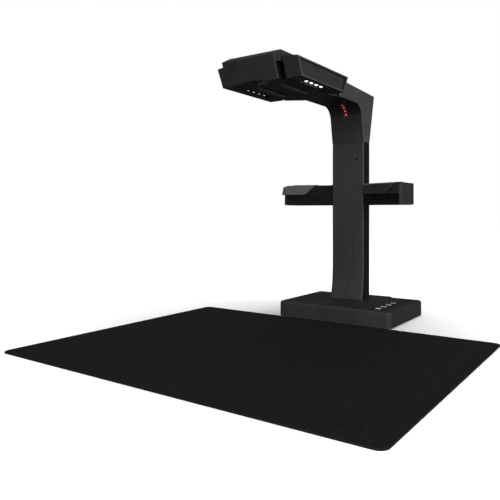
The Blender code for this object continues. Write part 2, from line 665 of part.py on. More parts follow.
def make_pods():
    """A hollow housing, a framed side panel, an LED board and a lens strip on each side."""
    for side, sign in SIDES:
        body = leaned(outline(pod_outline(), POD_IN, POD_OUT, "yz"))
        pod = place(sided(body, sign), "light_pod_" + side, BLACK)
        bevel(pod, 0.0010, 1, 30)
        seat = leaned(outline(pod_outline(FRAME_EDGE), POD_OUT - PANEL_INSET - 0.0014, POD_OUT + 0.002, "yz"))
        cut(pod, sided(seat, sign), "panel_seat")
        panel = leaned(outline(pod_outline(FRAME_EDGE + GAP * 1.6),
                               POD_OUT - PANEL_INSET - 0.0010, POD_OUT - PANEL_INSET,
                               "yz"))
        place(sided(panel, sign), "pod_panel_" + side, BLACK)
        cut(pod, box(span(*RECESS_X, sign), RECESS_Y, (POD_BOTTOM - 0.01, RECESS_Z)), "lamp_recess")
        cut(pod, box(span(POD_IN + 0.002, POD_OUT - 0.0065, sign), (POD_FRONT + 0.012, POD_BACK - 0.012),
                     (RECESS_Z + 0.0016, POD_TOP - POD_SLOPE - 0.002)), "inside")
        cut(pod, box(span(POD_IN - 0.001, POD_IN + 0.003, sign), (-0.150, -0.120), (0.3710, 0.3790)),
            "cable_way")
        board = box(span(LED_X - 0.0042, LED_X + 0.0042, sign),
                    (LED_FIRST - 0.008, LED_FIRST + LED_PITCH * 3 + 0.008),
                    (RECESS_Z - 0.0015, RECESS_Z - GAP))
        place(board, "led_board_" + side, LED_WHITE)
        strip_z = RECESS_Z - 0.0015 - GAP
        strip = place(box(span(LED_X - 0.0040, LED_X + 0.0040, sign),
                          (LED_FIRST - 0.0075, LED_FIRST + LED_PITCH * 3 + 0.0075),
                          (strip_z - 0.0009, strip_z)),
                      "led_lenses_" + side, LED_WHITE)
        for i in range(LEDS):
            dome = cylinder((sign * LED_X, LED_FIRST + LED_PITCH * i, strip_z - 0.0005), (0, 0, -1),
                            LED_R, 0.0026, 16,
                            LED_R * 0.62)
            join(strip, dome, "dome")


# ---------------------------------------------------------------- side light
CLIP_OUT = COL_W / 2 + CLIP_GAP + CLIP_WALL
BAR_TOP = BAR_BOTTOM + BAR_H
WING_ROOT = CLIP_OUT + 0.0003
LAMP_X = (WING_ROOT + 0.010, BAR_HALF - 0.010)
LAMP_Z = (BAR_BOTTOM + 0.0080, BAR_TOP - HOOD_H - 0.0020)


def wing_front(x, back=0.0):
    """The (x, y) on the wing's swept front line, moved back."""
    share = (x - WING_ROOT) / (BAR_HALF - WING_ROOT)
    return (x, BAR_ROOT_Y + (BAR_TIP_Y - BAR_ROOT_Y) * share + back)


def wing_strip(front, back, margin=0.0):
    """A strip along the wing's front line, between two distances behind it."""
    x0 = LAMP_X[0] + margin
    x1 = LAMP_X[1] - margin
    return [wing_front(x0, front), wing_front(x1, front), wing_front(x1, back), wing_front(x0, back)]


def hood_points():
    """The hood over the lamp: a slanted inner end, a front that leans back and a dropped tip."""
    low = BAR_TOP - HOOD_H
    tip = BAR_HALF - 0.0012
    rows = ((WING_ROOT + HOOD_START + HOOD_SLANT, tip, low, 0.0),
            (WING_ROOT + HOOD_START, tip - 0.018, BAR_TOP, HOOD_LEAN))
    points = [(*wing_front(x, back), z) for x0, x1, z, lean in rows for x in (x0, x1)
              for back in (lean, HOOD_BACK + 0.004)]
    return points + [(*wing_front(tip, HOOD_LEAN * 0.8), BAR_TOP - 0.003),
                     (*wing_front(tip, HOOD_BACK), BAR_TOP - 0.003)]


def make_side_light():
    """A U-shaped clip that slides on from behind, with a wing, diffuser and LED strip on each side."""
    back = COL_BACK + CLIP_GAP + CLIP_BACK
    clip = place(box((-CLIP_OUT, CLIP_OUT), (CLIP_FRONT, back), (BAR_BOTTOM, BAR_TOP)),
                 "side_light_clip", BLACK)
    bevel(clip, 0.0012, 1, 60)
    cut(clip, box((-COL_W / 2 - CLIP_GAP, COL_W / 2 + CLIP_GAP), (CLIP_FRONT - 0.01, COL_BACK + CLIP_GAP),
                  (BAR_BOTTOM - 0.01, BAR_TOP + 0.01)), "column_way")
    for side, sign in SIDES:
        body = [wing_front(WING_ROOT, HOOD_BACK), wing_front(BAR_HALF - 0.003, HOOD_BACK),
                (BAR_HALF - 0.003, BAR_BACK_Y - 0.004), (WING_ROOT, BAR_BACK_Y)]
        wing = place(sided(outline(body, BAR_BOTTOM, BAR_TOP - 0.0006, "xy"), sign),
                     "wing_housing_" + side, BLACK)
        join(wing, sided(hull(hood_points(), "hood"), sign), "hood")
        tip_y = wing_front(BAR_HALF)[1]
        end = [(tip_y + 0.0005, BAR_TOP - HOOD_H), (tip_y + HOOD_LEAN, BAR_TOP - 0.0035),
               (BAR_BACK_Y - 0.003, BAR_TOP - 0.0035), (BAR_BACK_Y - 0.003, BAR_BOTTOM + 0.0007),
               (tip_y + HOOD_BACK, BAR_BOTTOM + 0.0007)]
        join(wing, sided(outline(end, BAR_HALF - 0.004, BAR_HALF, "yz"), sign), "end_panel")
        slot = outline(wing_strip(HOOD_BACK - 0.006, HOOD_BACK + 0.0034), LAMP_Z[0], LAMP_Z[1], "xy")
        cut(wing, sided(slot, sign), "lamp_slot")
        low = LAMP_Z[0] + GAP
        high = LAMP_Z[1] - GAP
        glow = outline(wing_strip(HOOD_BACK + 0.0004, HOOD_BACK + 0.0020, GAP), low, high, "xy")
        place(sided(glow, sign), "wing_diffuser_" + side, DIFFUSER)
        lamp = outline(wing_strip(HOOD_BACK + 0.0024, HOOD_BACK + 0.0031, 0.001),
                       low + 0.001, high - 0.001, "xy")
        place(sided(lamp, sign), "wing_led_strip_" + side, LED_WHITE)


# ---------------------------------------------------------------- mat
def make_mat():
    """The work mat, flush with the base's front edge."""
    half = MAT_W / 2
    front = -GAP - MAT_D
    r = MAT_CORNER
    corners = [((half - r, -GAP - r), 0), ((-half + r, -GAP - r), 90), ((-half + r, front + r), 180),
               ((half - r, front + r), 270)]
    points = [p for centre, turn in corners for p in arc(centre, r, turn, turn + 90, 5)]
    place(outline(points, 0, MAT_T, "xy"), "work_mat", MAT_SURFACE)


make_base()
make_keys()
make_column()
make_laser(make_arm())
make_head()
make_camera()
make_pods()
make_side_light()
make_mat()
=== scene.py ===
# %% [markdown]
# # An overhead book scanner
# The frame holds the scanner's measured solids. This lesson dresses them: the housings are remodelled
# with rounded edges and fine details, and every surface gets a finish made from nodes.
# Loading comes first, because all places are read from the frame.

# %% Load the frame
import math

import bpy
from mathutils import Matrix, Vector


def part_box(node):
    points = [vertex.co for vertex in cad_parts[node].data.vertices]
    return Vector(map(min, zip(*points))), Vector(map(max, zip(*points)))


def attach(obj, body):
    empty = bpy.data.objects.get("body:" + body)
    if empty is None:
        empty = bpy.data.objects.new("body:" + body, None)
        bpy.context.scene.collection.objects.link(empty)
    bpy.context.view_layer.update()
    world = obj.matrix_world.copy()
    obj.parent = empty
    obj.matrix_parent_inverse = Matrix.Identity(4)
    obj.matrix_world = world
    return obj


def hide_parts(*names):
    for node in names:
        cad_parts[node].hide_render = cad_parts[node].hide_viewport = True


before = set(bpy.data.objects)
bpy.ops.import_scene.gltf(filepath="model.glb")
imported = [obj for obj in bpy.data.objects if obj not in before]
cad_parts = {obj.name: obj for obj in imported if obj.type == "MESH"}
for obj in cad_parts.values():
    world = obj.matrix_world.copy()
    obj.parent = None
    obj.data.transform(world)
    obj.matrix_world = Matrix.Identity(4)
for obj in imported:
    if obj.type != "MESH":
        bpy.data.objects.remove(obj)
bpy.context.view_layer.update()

# %% [markdown]
# The scanner stands behind its mat. All housings are modelled with the front edge of the base at
# y = 0, which keeps the numbers short, and each finished piece is then moved back by `FRONT_Y`.

# %% Where the stand begins
FRONT_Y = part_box("base_top_cover")[0][1]
print("front edge of the base:", round(FRONT_Y, 4))

# %% [markdown]
# ## The camera
# A camera a little above the mat, off to the right, sees the front of the head and its right side.
# It stands close, so the mat's near corner looks large: that comes from the place and the lens.

# %% Camera
scene = bpy.context.scene
camera_data = bpy.data.cameras.new("view")
camera_data.lens, camera_data.sensor_width = 40.2, 36
camera_data.shift_y = -0.077
camera_data.clip_start = 0.01
camera = bpy.data.objects.new("view", camera_data)
camera.location = (0.4245, -0.6949, 0.1845)
camera.rotation_euler = (math.radians(90), 0, math.radians(35.33))
scene.collection.objects.link(camera)
scene.camera = camera
print("camera:", [round(v, 3) for v in camera.location])

# %% [markdown]
# ## Wiring nodes
# Every finish, the floor and the room are made of nodes, so a few short helpers come first. They fill an
# input with a plain value, or link it where the value is another node's output.

# %% Helpers for nodes
def put(socket, value):
    """Link an input to another node's output, or set its plain value."""
    if isinstance(value, bpy.types.NodeSocket):
        socket.id_data.links.new(value, socket)
    else:
        socket.default_value = value


def wire(node, **values):
    """Fill a node's inputs by name."""
    for key, value in values.items():
        put(node.inputs[key.replace("_", " ")], value)


def add(tree, kind, *first, **values):
    """A new shader node: attributes and inputs go by name, and the first inputs also by their order."""
    node = tree.nodes.new("ShaderNode" + kind)
    for key, value in values.items():
        if hasattr(node, key):
            setattr(node, key, value)
        else:
            wire(node, **{key: value})
    for socket, value in zip(node.inputs, first):
        put(socket, value)
    return node


def spread(tree, value, low, high, start=0.3, end=0.7):
    """Stretch a value that runs from start to end to the range from low to high."""
    return add(tree, "MapRange", value, start, end, low, high).outputs["Result"]


def maths(tree, operation, a, b, clamp=False):
    """The result of a Math node on two sockets or numbers."""
    return add(tree, "Math", a, b, operation=operation, use_clamp=clamp).outputs[0]


def object_place(tree):
    """Where a point lies on the object, in metres."""
    return add(tree, "TexCoord").outputs["Object"]


print("node helpers ready")

# %% [markdown]
# ## Floor and light
# A black object needs bright things to mirror, or it looks like a hole. So the room is almost white,
# the floor is a large pale sheet, and three soft panels draw broad sheens on the sides that face them.
# The room is brightest in front and on the right, and dark behind, which keeps the upper edges crisp.
# The floor is dim for the light that it sends back, and glows a little farther out, so that it stays
# plain and pale round the soft shadow.

# %% Floor
def only(piece):
    """Leave edit mode and make this the one selected object."""
    if bpy.context.object and bpy.context.object.mode != "OBJECT":
        bpy.ops.object.mode_set(mode="OBJECT")
    bpy.ops.object.select_all(action="DESELECT")
    if piece:
        piece.select_set(True)
        bpy.context.view_layer.objects.active = piece


def seen_or_lit(tree, lit, seen, end):
    """End a tree with one shader for the light that falls on things, and one for the eye."""
    eye_ray = add(tree, "LightPath").outputs["Is Camera Ray"]
    both = add(tree, "MixShader", eye_ray, lit.outputs[0], seen.outputs[0])
    put(tree.nodes[end].inputs["Surface"], both.outputs[0])


only(None)
bpy.ops.mesh.primitive_plane_add(size=12, location=(0, 0, -0.0002))
floor = bpy.context.object
floor.name = "floor"
paint = bpy.data.materials.new("floor_paint")
paint.use_nodes = True
tree = paint.node_tree
coat = tree.nodes["Principled BSDF"]
far = add(tree, "VectorMath", object_place(tree), operation="LENGTH").outputs["Value"]
wire(coat, Base_Color=(0.93, 0.93, 0.93, 1), Roughness=0.9, Emission_Color=(1, 1, 1, 1),
     Emission_Strength=spread(tree, far, 0.0, 0.85, 0.18, 0.60))
seen_or_lit(tree, add(tree, "BsdfDiffuse", (0.10, 0.10, 0.10, 1)), coat, "Material Output")
floor.data.materials.append(paint)
print("floor:", floor.name)

# %% Lights
BRIGHT_SIDE = (0.62, -0.78, 0.08)
PANELS = [
    ("right_panel", (1.7, 0.1, 0.55), (0, 0.1, 0.25), 0.9, 24),
    ("top_panel", (-0.2, -0.2, 1.8), (0, 0, 0.2), 1.2, 9),
    ("front_panel", (0.35, -2.2, 0.4), (0, 0.1, 0.25), 0.9, 34),
]

scene.view_settings.view_transform = "Standard"
scene.world = bpy.data.worlds.new("studio")
scene.world.use_nodes = True
tree = scene.world.node_tree
room = tree.nodes["Background"]
direction = add(tree, "TexCoord").outputs["Generated"]
facing = add(tree, "VectorMath", direction, BRIGHT_SIDE, operation="DOT_PRODUCT").outputs["Value"]
wire(room, Color=(1, 1, 1, 1), Strength=spread(tree, facing, 0.06, 0.62, -0.5, 0.8))
seen_or_lit(tree, room, add(tree, "Background", (1, 1, 1, 1)), "World Output")

for name, place, aim, size, power in PANELS:
    light = bpy.data.lights.new(name, "AREA")
    light.shape, light.size, light.energy = "SQUARE", size, power
    lamp = bpy.data.objects.new(name, light)
    lamp.location = place
    lamp.rotation_euler = (Vector(aim) - Vector(place)).to_track_quat("-Z", "Y").to_euler()
    scene.collection.objects.link(lamp)
print("lights:", [row[0] for row in PANELS])

# %% [markdown]
# ## Finishes
# A few effects come back in many finishes, so each is a node group, made once: the fine grain of a
# moulded housing, the lighter line where edges are rubbed, and the creased grain of the soft mat.
# The group only works out masks and heights. Colours and shaders stay in each material.

# %% Group: moulded grain
def new_group(name, inputs, outputs):
    """An empty node group with named values; returns its tree, what it is given, and its end."""
    tree = bpy.data.node_groups.new(name, "ShaderNodeTree")
    for label, value in inputs.items():
        socket = tree.interface.new_socket(label, in_out="INPUT", socket_type="NodeSocketFloat")
        socket.default_value = value
    for label in outputs:
        tree.interface.new_socket(label, in_out="OUTPUT", socket_type="NodeSocketFloat")
    return tree, tree.nodes.new("NodeGroupInput").outputs, tree.nodes.new("NodeGroupOutput")


def make_moulded_grain():
    """Height of a spark-eroded plastic skin, and a slow blotch for colour and gloss."""
    tree, given, result = new_group("Moulded grain", {"Scale": 900, "Blotch scale": 22}, ["Height", "Blotch"])
    place = object_place(tree)
    fine = add(tree, "TexNoise", Vector=place, Scale=given["Scale"], Detail=3, Roughness=0.6)
    slow = add(tree, "TexNoise", Vector=place, Scale=given["Blotch scale"], Detail=3, Roughness=0.55)
    wire(result, Height=fine.outputs["Fac"], Blotch=slow.outputs["Fac"])
    return tree


MOULDED_GRAIN = make_moulded_grain()
print("group:", MOULDED_GRAIN.name)

# %% Group: rubbed edges
def make_rubbed_edges():
    """A mask that is 1 where the surface turns sharply, broken up by noise."""
    tree, given, result = new_group("Rubbed edges", {"Width": 0.0007, "Breakup scale": 160}, ["Mask"])
    rounded = add(tree, "Bevel", samples=4, Radius=given["Width"]).outputs["Normal"]
    straight = add(tree, "NewGeometry").outputs["Normal"]
    same = add(tree, "VectorMath", rounded, straight, operation="DOT_PRODUCT").outputs["Value"]
    edge = maths(tree, "MULTIPLY", maths(tree, "SUBTRACT", 1.0, same), 6.0, clamp=True)
    noise = add(tree, "TexNoise", Vector=object_place(tree), Scale=given["Breakup scale"], Detail=2)
    breakup = spread(tree, noise.outputs["Fac"], 0.35, 1.0, 0.35, 0.62)
    wire(result, Mask=maths(tree, "MULTIPLY", edge, breakup))
    return tree


RUBBED_EDGES = make_rubbed_edges()
print("group:", RUBBED_EDGES.name)

# %% Group: creased skin
def make_creased_skin():
    """Leather-like cells with soft valleys, and a mask of painted shade for the valleys, for the work mat."""
    tree, given, result = new_group("Creased skin", {"Scale": 620, "Fleck scale": 240},
                                    ["Height", "Valley", "Fleck"])
    place = object_place(tree)
    warp = add(tree, "TexNoise", Vector=place, Scale=300, Detail=2).outputs["Color"]
    shift = add(tree, "VectorMath", warp, operation="SCALE", Scale=0.0016).outputs["Vector"]
    moved = add(tree, "VectorMath", place, shift, operation="ADD").outputs["Vector"]
    cells = add(tree, "TexVoronoi", feature="DISTANCE_TO_EDGE", Vector=moved, Scale=given["Scale"])
    dome = spread(tree, cells.outputs["Distance"], 0, 1, 0, 0.22)
    noise = add(tree, "TexNoise", Vector=place, Scale=given["Fleck scale"], Detail=4, Roughness=0.7)
    fleck = noise.outputs["Fac"]
    wire(result, Height=maths(tree, "ADD", dome, maths(tree, "MULTIPLY", fleck, 0.5)),
         Valley=maths(tree, "SUBTRACT", 1.0, dome), Fleck=fleck)
    return tree


CREASED_SKIN = make_creased_skin()
print("group:", CREASED_SKIN.name)

# %% [markdown]
# A finish starts as a Principled shader with its plain numbers. `blend_colour` lays one colour over
# another by a mask, and `bump` turns a height into a normal; most finishes need only these two.

# %% Helpers for finishes
def start_finish(name, roughness, **plain):
    """A material, its tree and its shader; plain holds what is the same all over the surface."""
    finish = bpy.data.materials.new(name)
    finish.use_nodes = True
    shader = finish.node_tree.nodes["Principled BSDF"]
    wire(shader, Roughness=roughness, **plain)
    return finish, finish.node_tree, shader


def blend_colour(tree, mask, under, over, amount=1.0):
    """Mix from the under colour to the over colour by mask times amount; returns the colour."""
    mix = add(tree, "Mix", maths(tree, "MULTIPLY", mask, amount, clamp=True), data_type="RGBA")
    for socket, colour in ((mix.inputs[6], under), (mix.inputs[7], over)):
        put(socket, (*colour, 1) if isinstance(colour, tuple) else colour)
    return mix.outputs[2]


def bump(shader, height, strength, distance):
    """Feed a height to the shader as a normal."""
    node = add(shader.id_data, "Bump", Height=height, Strength=strength, Distance=distance)
    wire(shader, Normal=node.outputs["Normal"])


print("finish helpers ready")

# %% [markdown]
# ### Moulded plastic
# The housings are black ABS with a fine eroded grain: satin, never mirror-like. The grain is a tiny
# bump, the blotch changes the gloss a little from place to place, and rubbed edges are a shade
# lighter. The same recipe with other numbers gives the smoother trim, the keys and the rubber feet;
# the trim's dark colour is also painted shade on the walls of the gaps beside the lamp pods.
# Four more recipes serve single faces: the grainy pod panels, a paler painted highlight for faces that
# catch more light than their neighbours, thin bright lines of painted highlight on ridges and slants,
# and dark painted shade on the dull fronts of the wings.

# %% Plastic finishes
def moulded_plastic(name, colour, edge, roughness, grain, strength, specular):
    """Black plastic with eroded grain, uneven gloss and lighter edges."""
    finish, tree, shader = start_finish(name, roughness, Specular_IOR_Level=specular)
    skin = add(tree, "Group", node_tree=MOULDED_GRAIN, Scale=grain).outputs
    rub = add(tree, "Group", node_tree=RUBBED_EDGES).outputs
    lighter = tuple(c * 1.35 for c in colour)
    base = blend_colour(tree, spread(tree, skin["Blotch"], 0, 1), colour, lighter)
    wire(shader, Base_Color=blend_colour(tree, rub["Mask"], base, edge),
         Roughness=spread(tree, skin["Blotch"], roughness - 0.05, roughness + 0.07))
    bump(shader, skin["Height"], strength, 0.0002)
    return finish


CASE, TRIM_AND_GAP_SHADE, KEYCAP, RUBBER, PANEL_SKIN, PAINTED_HIGHLIGHT, PAINTED_HIGHLIGHT_LINE, PAINTED_SHADE = [moulded_plastic(*row) for row in (
    ("case_plastic", (0.013, 0.013, 0.0135), (0.050, 0.050, 0.052), 0.46, 1400, 0.30, 0.28),
    ("trim_gloss_and_gap_shade", (0.004, 0.004, 0.0045), (0.022, 0.022, 0.024), 0.30, 900, 0.10, 0.10),
    ("keycap_plastic", (0.010, 0.010, 0.011), (0.050, 0.050, 0.052), 0.38, 1800, 0.15, 0.35),
    ("foot_rubber", (0.022, 0.021, 0.020), (0.050, 0.048, 0.046), 0.78, 2400, 0.45, 0.50),
    ("panel_plastic", (0.016, 0.016, 0.0165), (0.050, 0.050, 0.052), 0.60, 700, 0.55, 0.20),
    ("painted_highlight_plastic", (0.034, 0.034, 0.035), (0.070, 0.070, 0.072), 0.42, 1400, 0.20, 0.35),
    ("painted_highlight_line", (0.085, 0.085, 0.087), (0.110, 0.110, 0.112), 0.45, 1400, 0.15, 0.30),
    ("painted_shade_plastic", (0.0065, 0.0065, 0.0068), (0.020, 0.020, 0.021), 0.66, 900, 0.20, 0.03),
)]
print("plastics:", CASE.name, TRIM_AND_GAP_SHADE.name, KEYCAP.name, RUBBER.name)

# %% [markdown]
# ### The mat's skin
# The work mat is a thin sheet of grained synthetic leather. Its cells are about a millimetre and a
# half across, with duller valleys between them that are darkened by painted shade.

# %% Mat finish
MAT_SKIN, tree, shader = start_finish("mat_skin", 0.64, Specular_IOR_Level=0.14)
skin = add(tree, "Group", node_tree=CREASED_SKIN).outputs
flecked = blend_colour(tree, spread(tree, skin["Fleck"], 0, 1), (0.0045, 0.0045, 0.0047),
                       (0.0125, 0.0125, 0.0130))
# The valleys get painted shade: the colour darkens towards the creases between the cells.
wire(shader, Base_Color=blend_colour(tree, skin["Valley"], flecked, (0.0018, 0.0018, 0.0018), 0.7),
     Roughness=spread(tree, skin["Fleck"], 0.52, 0.70))
bump(shader, skin["Height"], 0.35, 0.00025)
print("mat:", MAT_SKIN.name)

# %% [markdown]
# ### Metal, boards and cast iron
# The screws, sockets and upright are plated steel. Hidden boards are green laminate with copper
# tracks. They show only through openings, but a part that is turned over still looks right.

# %% Metal and board finishes
def plated_metal(name, colour, roughness, grain, strength):
    """Metal with fine scratches and uneven gloss."""
    finish, tree, shader = start_finish(name, roughness, Metallic=1.0)
    skin = add(tree, "Group", node_tree=MOULDED_GRAIN, Scale=grain, Blotch_scale=90).outputs
    darker = tuple(c * 0.72 for c in colour)
    wire(shader, Base_Color=blend_colour(tree, spread(tree, skin["Blotch"], 0, 1), colour, darker),
         Roughness=spread(tree, skin["Blotch"], roughness - 0.08, roughness + 0.10))
    bump(shader, skin["Height"], strength, 0.0001)
    return finish


def circuit_laminate(name, ground, track):
    """Solder mask with straight tracks under it."""
    finish, tree, shader = start_finish(name, 0.42)
    bricks = add(tree, "TexBrick", Vector=object_place(tree), Scale=160, Mortar_Size=0.03).outputs["Fac"]
    wire(shader, Base_Color=blend_colour(tree, bricks, ground, track))
    bump(shader, bricks, 0.2, 0.0001)
    return finish


STEEL = plated_metal("plated_steel", (0.58, 0.58, 0.60), 0.30, 700, 0.12)
IRON = plated_metal("cast_ballast", (0.16, 0.16, 0.165), 0.60, 300, 0.60)
BOARD = circuit_laminate("board_green", (0.010, 0.050, 0.022), (0.050, 0.140, 0.060))
LED_BOARD = circuit_laminate("board_white", (0.62, 0.62, 0.60), (0.48, 0.46, 0.40))
print("metals and boards:", STEEL.name, IRON.name, BOARD.name, LED_BOARD.name)

# %% [markdown]
# ### Light and glass
# The lamps are white domes that glow, a little bluer towards the rim. The laser dots glow red. The
# camera looks out through dark coated glass, and the side lamps sit behind smoked, ribbed strips.

# %% Lamp and glass finishes
def cloudy(tree, scale, blotch):
    """A faint cloud, for a polish or an ink that isn't even."""
    return add(tree, "Group", node_tree=MOULDED_GRAIN, Scale=scale, Blotch_scale=blotch).outputs["Blotch"]


def glowing(name, body, core, rim, strength):
    """A lamp lens: the middle glows in the core colour, the rim in the other."""
    finish, tree, shader = start_finish(name, 0.25, Emission_Strength=strength, Base_Color=(*body, 1))
    facing = add(tree, "LayerWeight", Blend=0.35).outputs["Facing"]
    wire(shader, Emission_Color=blend_colour(tree, facing, core, rim),
         Roughness=spread(tree, cloudy(tree, 1200, 400), 0.2, 0.35))
    return finish


LED_GLOW = glowing("led_glow", (0.9, 0.9, 0.9), (1.0, 1.0, 1.0), (0.80, 0.86, 1.0), 1.5)
LASER_GLOW = glowing("laser_glow", (0.4, 0.02, 0.02), (0.60, 0.22, 0.23), (0.30, 0.02, 0.025), 1.0)

LENS_GLASS, tree, shader = start_finish("lens_glass_coated", 0.02, Transmission_Weight=1.0, IOR=1.5,
                                        Base_Color=(0.75, 0.80, 0.92, 1))
wire(shader, Roughness=spread(tree, cloudy(tree, 1200, 120), 0.02, 0.08))

SMOKED, tree, shader = start_finish("smoked_strip", 0.60, Specular_IOR_Level=0.04)
ribs = add(tree, "TexWave", bands_direction="X", Vector=object_place(tree), Scale=260).outputs["Fac"]
wire(shader, Base_Color=blend_colour(tree, ribs, (0.004, 0.004, 0.0045), (0.006, 0.006, 0.0065)))
bump(shader, ribs, 0.5, 0.0003)

# The pane's faint red glow is painted light: the window is no lamp, and the glow stands in for the laser's
# red light in the slot.
RED_PANE_PAINTED_GLOW, tree, shader = start_finish("red_pane_painted_glow", 0.12, Coat_Weight=0.5, Emission_Strength=0.5,
                                      Emission_Color=(0.10, 0.004, 0.006, 1))
wire(shader, Base_Color=blend_colour(tree, spread(tree, cloudy(tree, 900, 200), 0, 1),
                                     (0.030, 0.0010, 0.0010), (0.110, 0.004, 0.004)))

PRINT_WHITE, tree, shader = start_finish("print_white", 0.5)
ink = add(tree, "Group", node_tree=MOULDED_GRAIN, Scale=2500, Blotch_scale=600).outputs
wire(shader, Base_Color=blend_colour(tree, spread(tree, ink["Blotch"], 0, 1), (0.62, 0.62, 0.62),
                                     (0.80, 0.80, 0.80)))
bump(shader, ink["Height"], 0.2, 0.00005)
print("finishes:", len([m for m in bpy.data.materials if m.use_nodes]))

# %% [markdown]
# ## The modelling bench
# Every housing here is a faceted box with small rounded edges, so one way of working serves them all:
# a cube at the right size, sliced by planes into the facets, hollowed with cutters where another part
# sits, and rounded at the end. The helpers below are those few hand moves.

# %% Helpers for solids
def settle(piece):
    """Put the piece's place, turn and size into its mesh."""
    only(piece)
    bpy.ops.object.transform_apply(location=True, rotation=True, scale=True)


def block(name, low, high):
    """A cube stretched between two corners."""
    only(None)
    bpy.ops.mesh.primitive_cube_add(size=1, location=[(a + b) / 2 for a, b in zip(low, high)])
    piece = bpy.context.object
    piece.name = piece.data.name = name
    piece.scale = [b - a for a, b in zip(low, high)]
    settle(piece)
    return piece


def rod(name, middle, radius, length, axis="z", sides=32, top=None):
    """A cylinder or cone round its middle, along x, y or z; top is the far end's radius."""
    turn = {"x": (0, math.pi / 2, 0), "y": (-math.pi / 2, 0, 0), "z": (0, 0, 0)}[axis]
    only(None)
    bpy.ops.mesh.primitive_cone_add(vertices=sides, radius1=radius, radius2=radius if top is None else top,
                                    depth=length, location=middle, rotation=turn)
    piece = bpy.context.object
    piece.name = piece.data.name = name
    settle(piece)
    return piece


def slice_off(piece, point, normal):
    """Cut through point and drop what lies on the normal's side; the cut is closed."""
    only(piece)
    bpy.ops.object.mode_set(mode="EDIT")
    bpy.ops.mesh.select_all(action="SELECT")
    bpy.ops.mesh.bisect(plane_co=point, plane_no=Vector(normal).normalized(), threshold=0.000001,
                        use_fill=True, clear_outer=True)
    bpy.ops.object.mode_set(mode="OBJECT")


def slice_line(piece, start, end, axis, outward):
    """Slice along a line drawn in the side, front or plan view, and drop the side outward points to."""
    run = [b - a for a, b in zip(start, end)]
    if axis == "x":
        point, normal = (0, *start), Vector((0, -run[1], run[0]))
    elif axis == "y":
        point, normal = (start[0], 0, start[1]), Vector((-run[1], 0, run[0]))
    else:
        point, normal = (*start, 0), Vector((-run[1], run[0], 0))
    if normal.dot(Vector(outward)) < 0:
        normal = -normal
    slice_off(piece, point, normal)


print("solids ready")

# %% Helpers for faces and edges
UPRIGHT_RISE = 0.0005


def pick_faces(piece, test):
    """Edit mode with the faces selected whose middle and normal pass the test."""
    only(piece)
    mesh = piece.data
    for part in (*mesh.vertices, *mesh.edges):
        part.select = False
    for face in mesh.polygons:
        face.select = bool(test(face.center, face.normal))
    bpy.context.tool_settings.mesh_select_mode = (False, False, True)
    bpy.ops.object.mode_set(mode="EDIT")


def pick_edges(piece, test):
    """Edit mode with the edges selected whose two ends pass the test."""
    only(piece)
    mesh = piece.data
    for part in (*mesh.vertices, *mesh.polygons):
        part.select = False
    for edge in mesh.edges:
        edge.select = bool(test(*(mesh.vertices[i].co for i in edge.vertices)))
    bpy.context.tool_settings.mesh_select_mode = (False, True, False)
    bpy.ops.object.mode_set(mode="EDIT")


def inset_faces(piece, test, border, depth):
    """Draw a border inside the picked faces and push the middle in; a negative depth goes inwards."""
    pick_faces(piece, test)
    bpy.ops.mesh.inset(thickness=border, depth=0)
    bpy.ops.mesh.inset(thickness=0.0001, depth=depth)
    bpy.ops.object.mode_set(mode="OBJECT")


def bevel_edges(piece, test, width, segments):
    """Round only the picked edges."""
    pick_edges(piece, test)
    bpy.ops.mesh.bevel(offset=width, segments=segments, affect="EDGES", clamp_overlap=True)
    bpy.ops.object.mode_set(mode="OBJECT")


def upright(a, b):
    """Whether an edge between two corners stands upright, for boxes that aren't cut yet."""
    return abs(a.z - b.z) > UPRIGHT_RISE


def above(height):
    """A test for edges that lie above a height."""
    return lambda a, b: min(a.z, b.z) > height


def below(height):
    """A test for edges that lie below a height."""
    return lambda a, b: max(a.z, b.z) < height


def round_block(name, low, high, radius, segments):
    """A block with its upright edges rounded."""
    piece = block(name, low, high)
    bevel_edges(piece, upright, radius, segments)
    return piece


print("faces and edges ready")

# %% Helpers for modifiers and copies
def apply_modifier(piece, kind, **values):
    """Add a modifier with its settings and apply it."""
    only(piece)
    modifier = piece.modifiers.new(kind.lower(), kind)
    for key, value in values.items():
        setattr(modifier, key, value)
    bpy.ops.object.modifier_apply(modifier=modifier.name)


def round_edges(piece, width, segments, angle):
    """Round every edge sharper than the angle."""
    apply_modifier(piece, "BEVEL", width=width, segments=segments, limit_method="ANGLE",
                   angle_limit=math.radians(angle), miter_outer="MITER_ARC", use_clamp_overlap=True)


def combine(piece, other, operation="DIFFERENCE"):
    """Cut the other solid out of the piece, or weld it on with UNION; the other one is used up."""
    apply_modifier(piece, "BOOLEAN", operation=operation, solver="EXACT", object=other)
    bpy.data.objects.remove(other, do_unlink=True)


def put_together(name, pieces):
    """Join loose solids into one object, without welding them."""
    only(pieces[0])
    for other in pieces[1:]:
        other.select_set(True)
    bpy.ops.object.join()
    pieces[0].name = pieces[0].data.name = name
    return pieces[0]


def mirror_piece(piece, name):
    """A copy with its own mesh, mirrored to the other side."""
    only(piece)
    bpy.ops.object.duplicate()
    other = bpy.context.object
    other.name = other.data.name = name
    other.scale.x = -1
    settle(other)
    bpy.ops.object.mode_set(mode="EDIT")
    bpy.ops.mesh.select_all(action="SELECT")
    bpy.ops.mesh.normals_make_consistent(inside=False)
    bpy.ops.object.mode_set(mode="OBJECT")
    return other


def cut_both_sides(piece, cutter):
    """Cut with the mirror image of a cutter on the left, and with the cutter itself on the right."""
    combine(piece, mirror_piece(cutter, "left_" + cutter.name))
    combine(piece, cutter)


print("modifiers and copies ready")

# %% [markdown]
# A shaped piece is finished in one step: it goes to its place, gets its smooth shading and its finish,
# and the frame is told which body it rides on and which node it stands for.

# %% Finish a piece
SMOOTH_BELOW = math.radians(32)


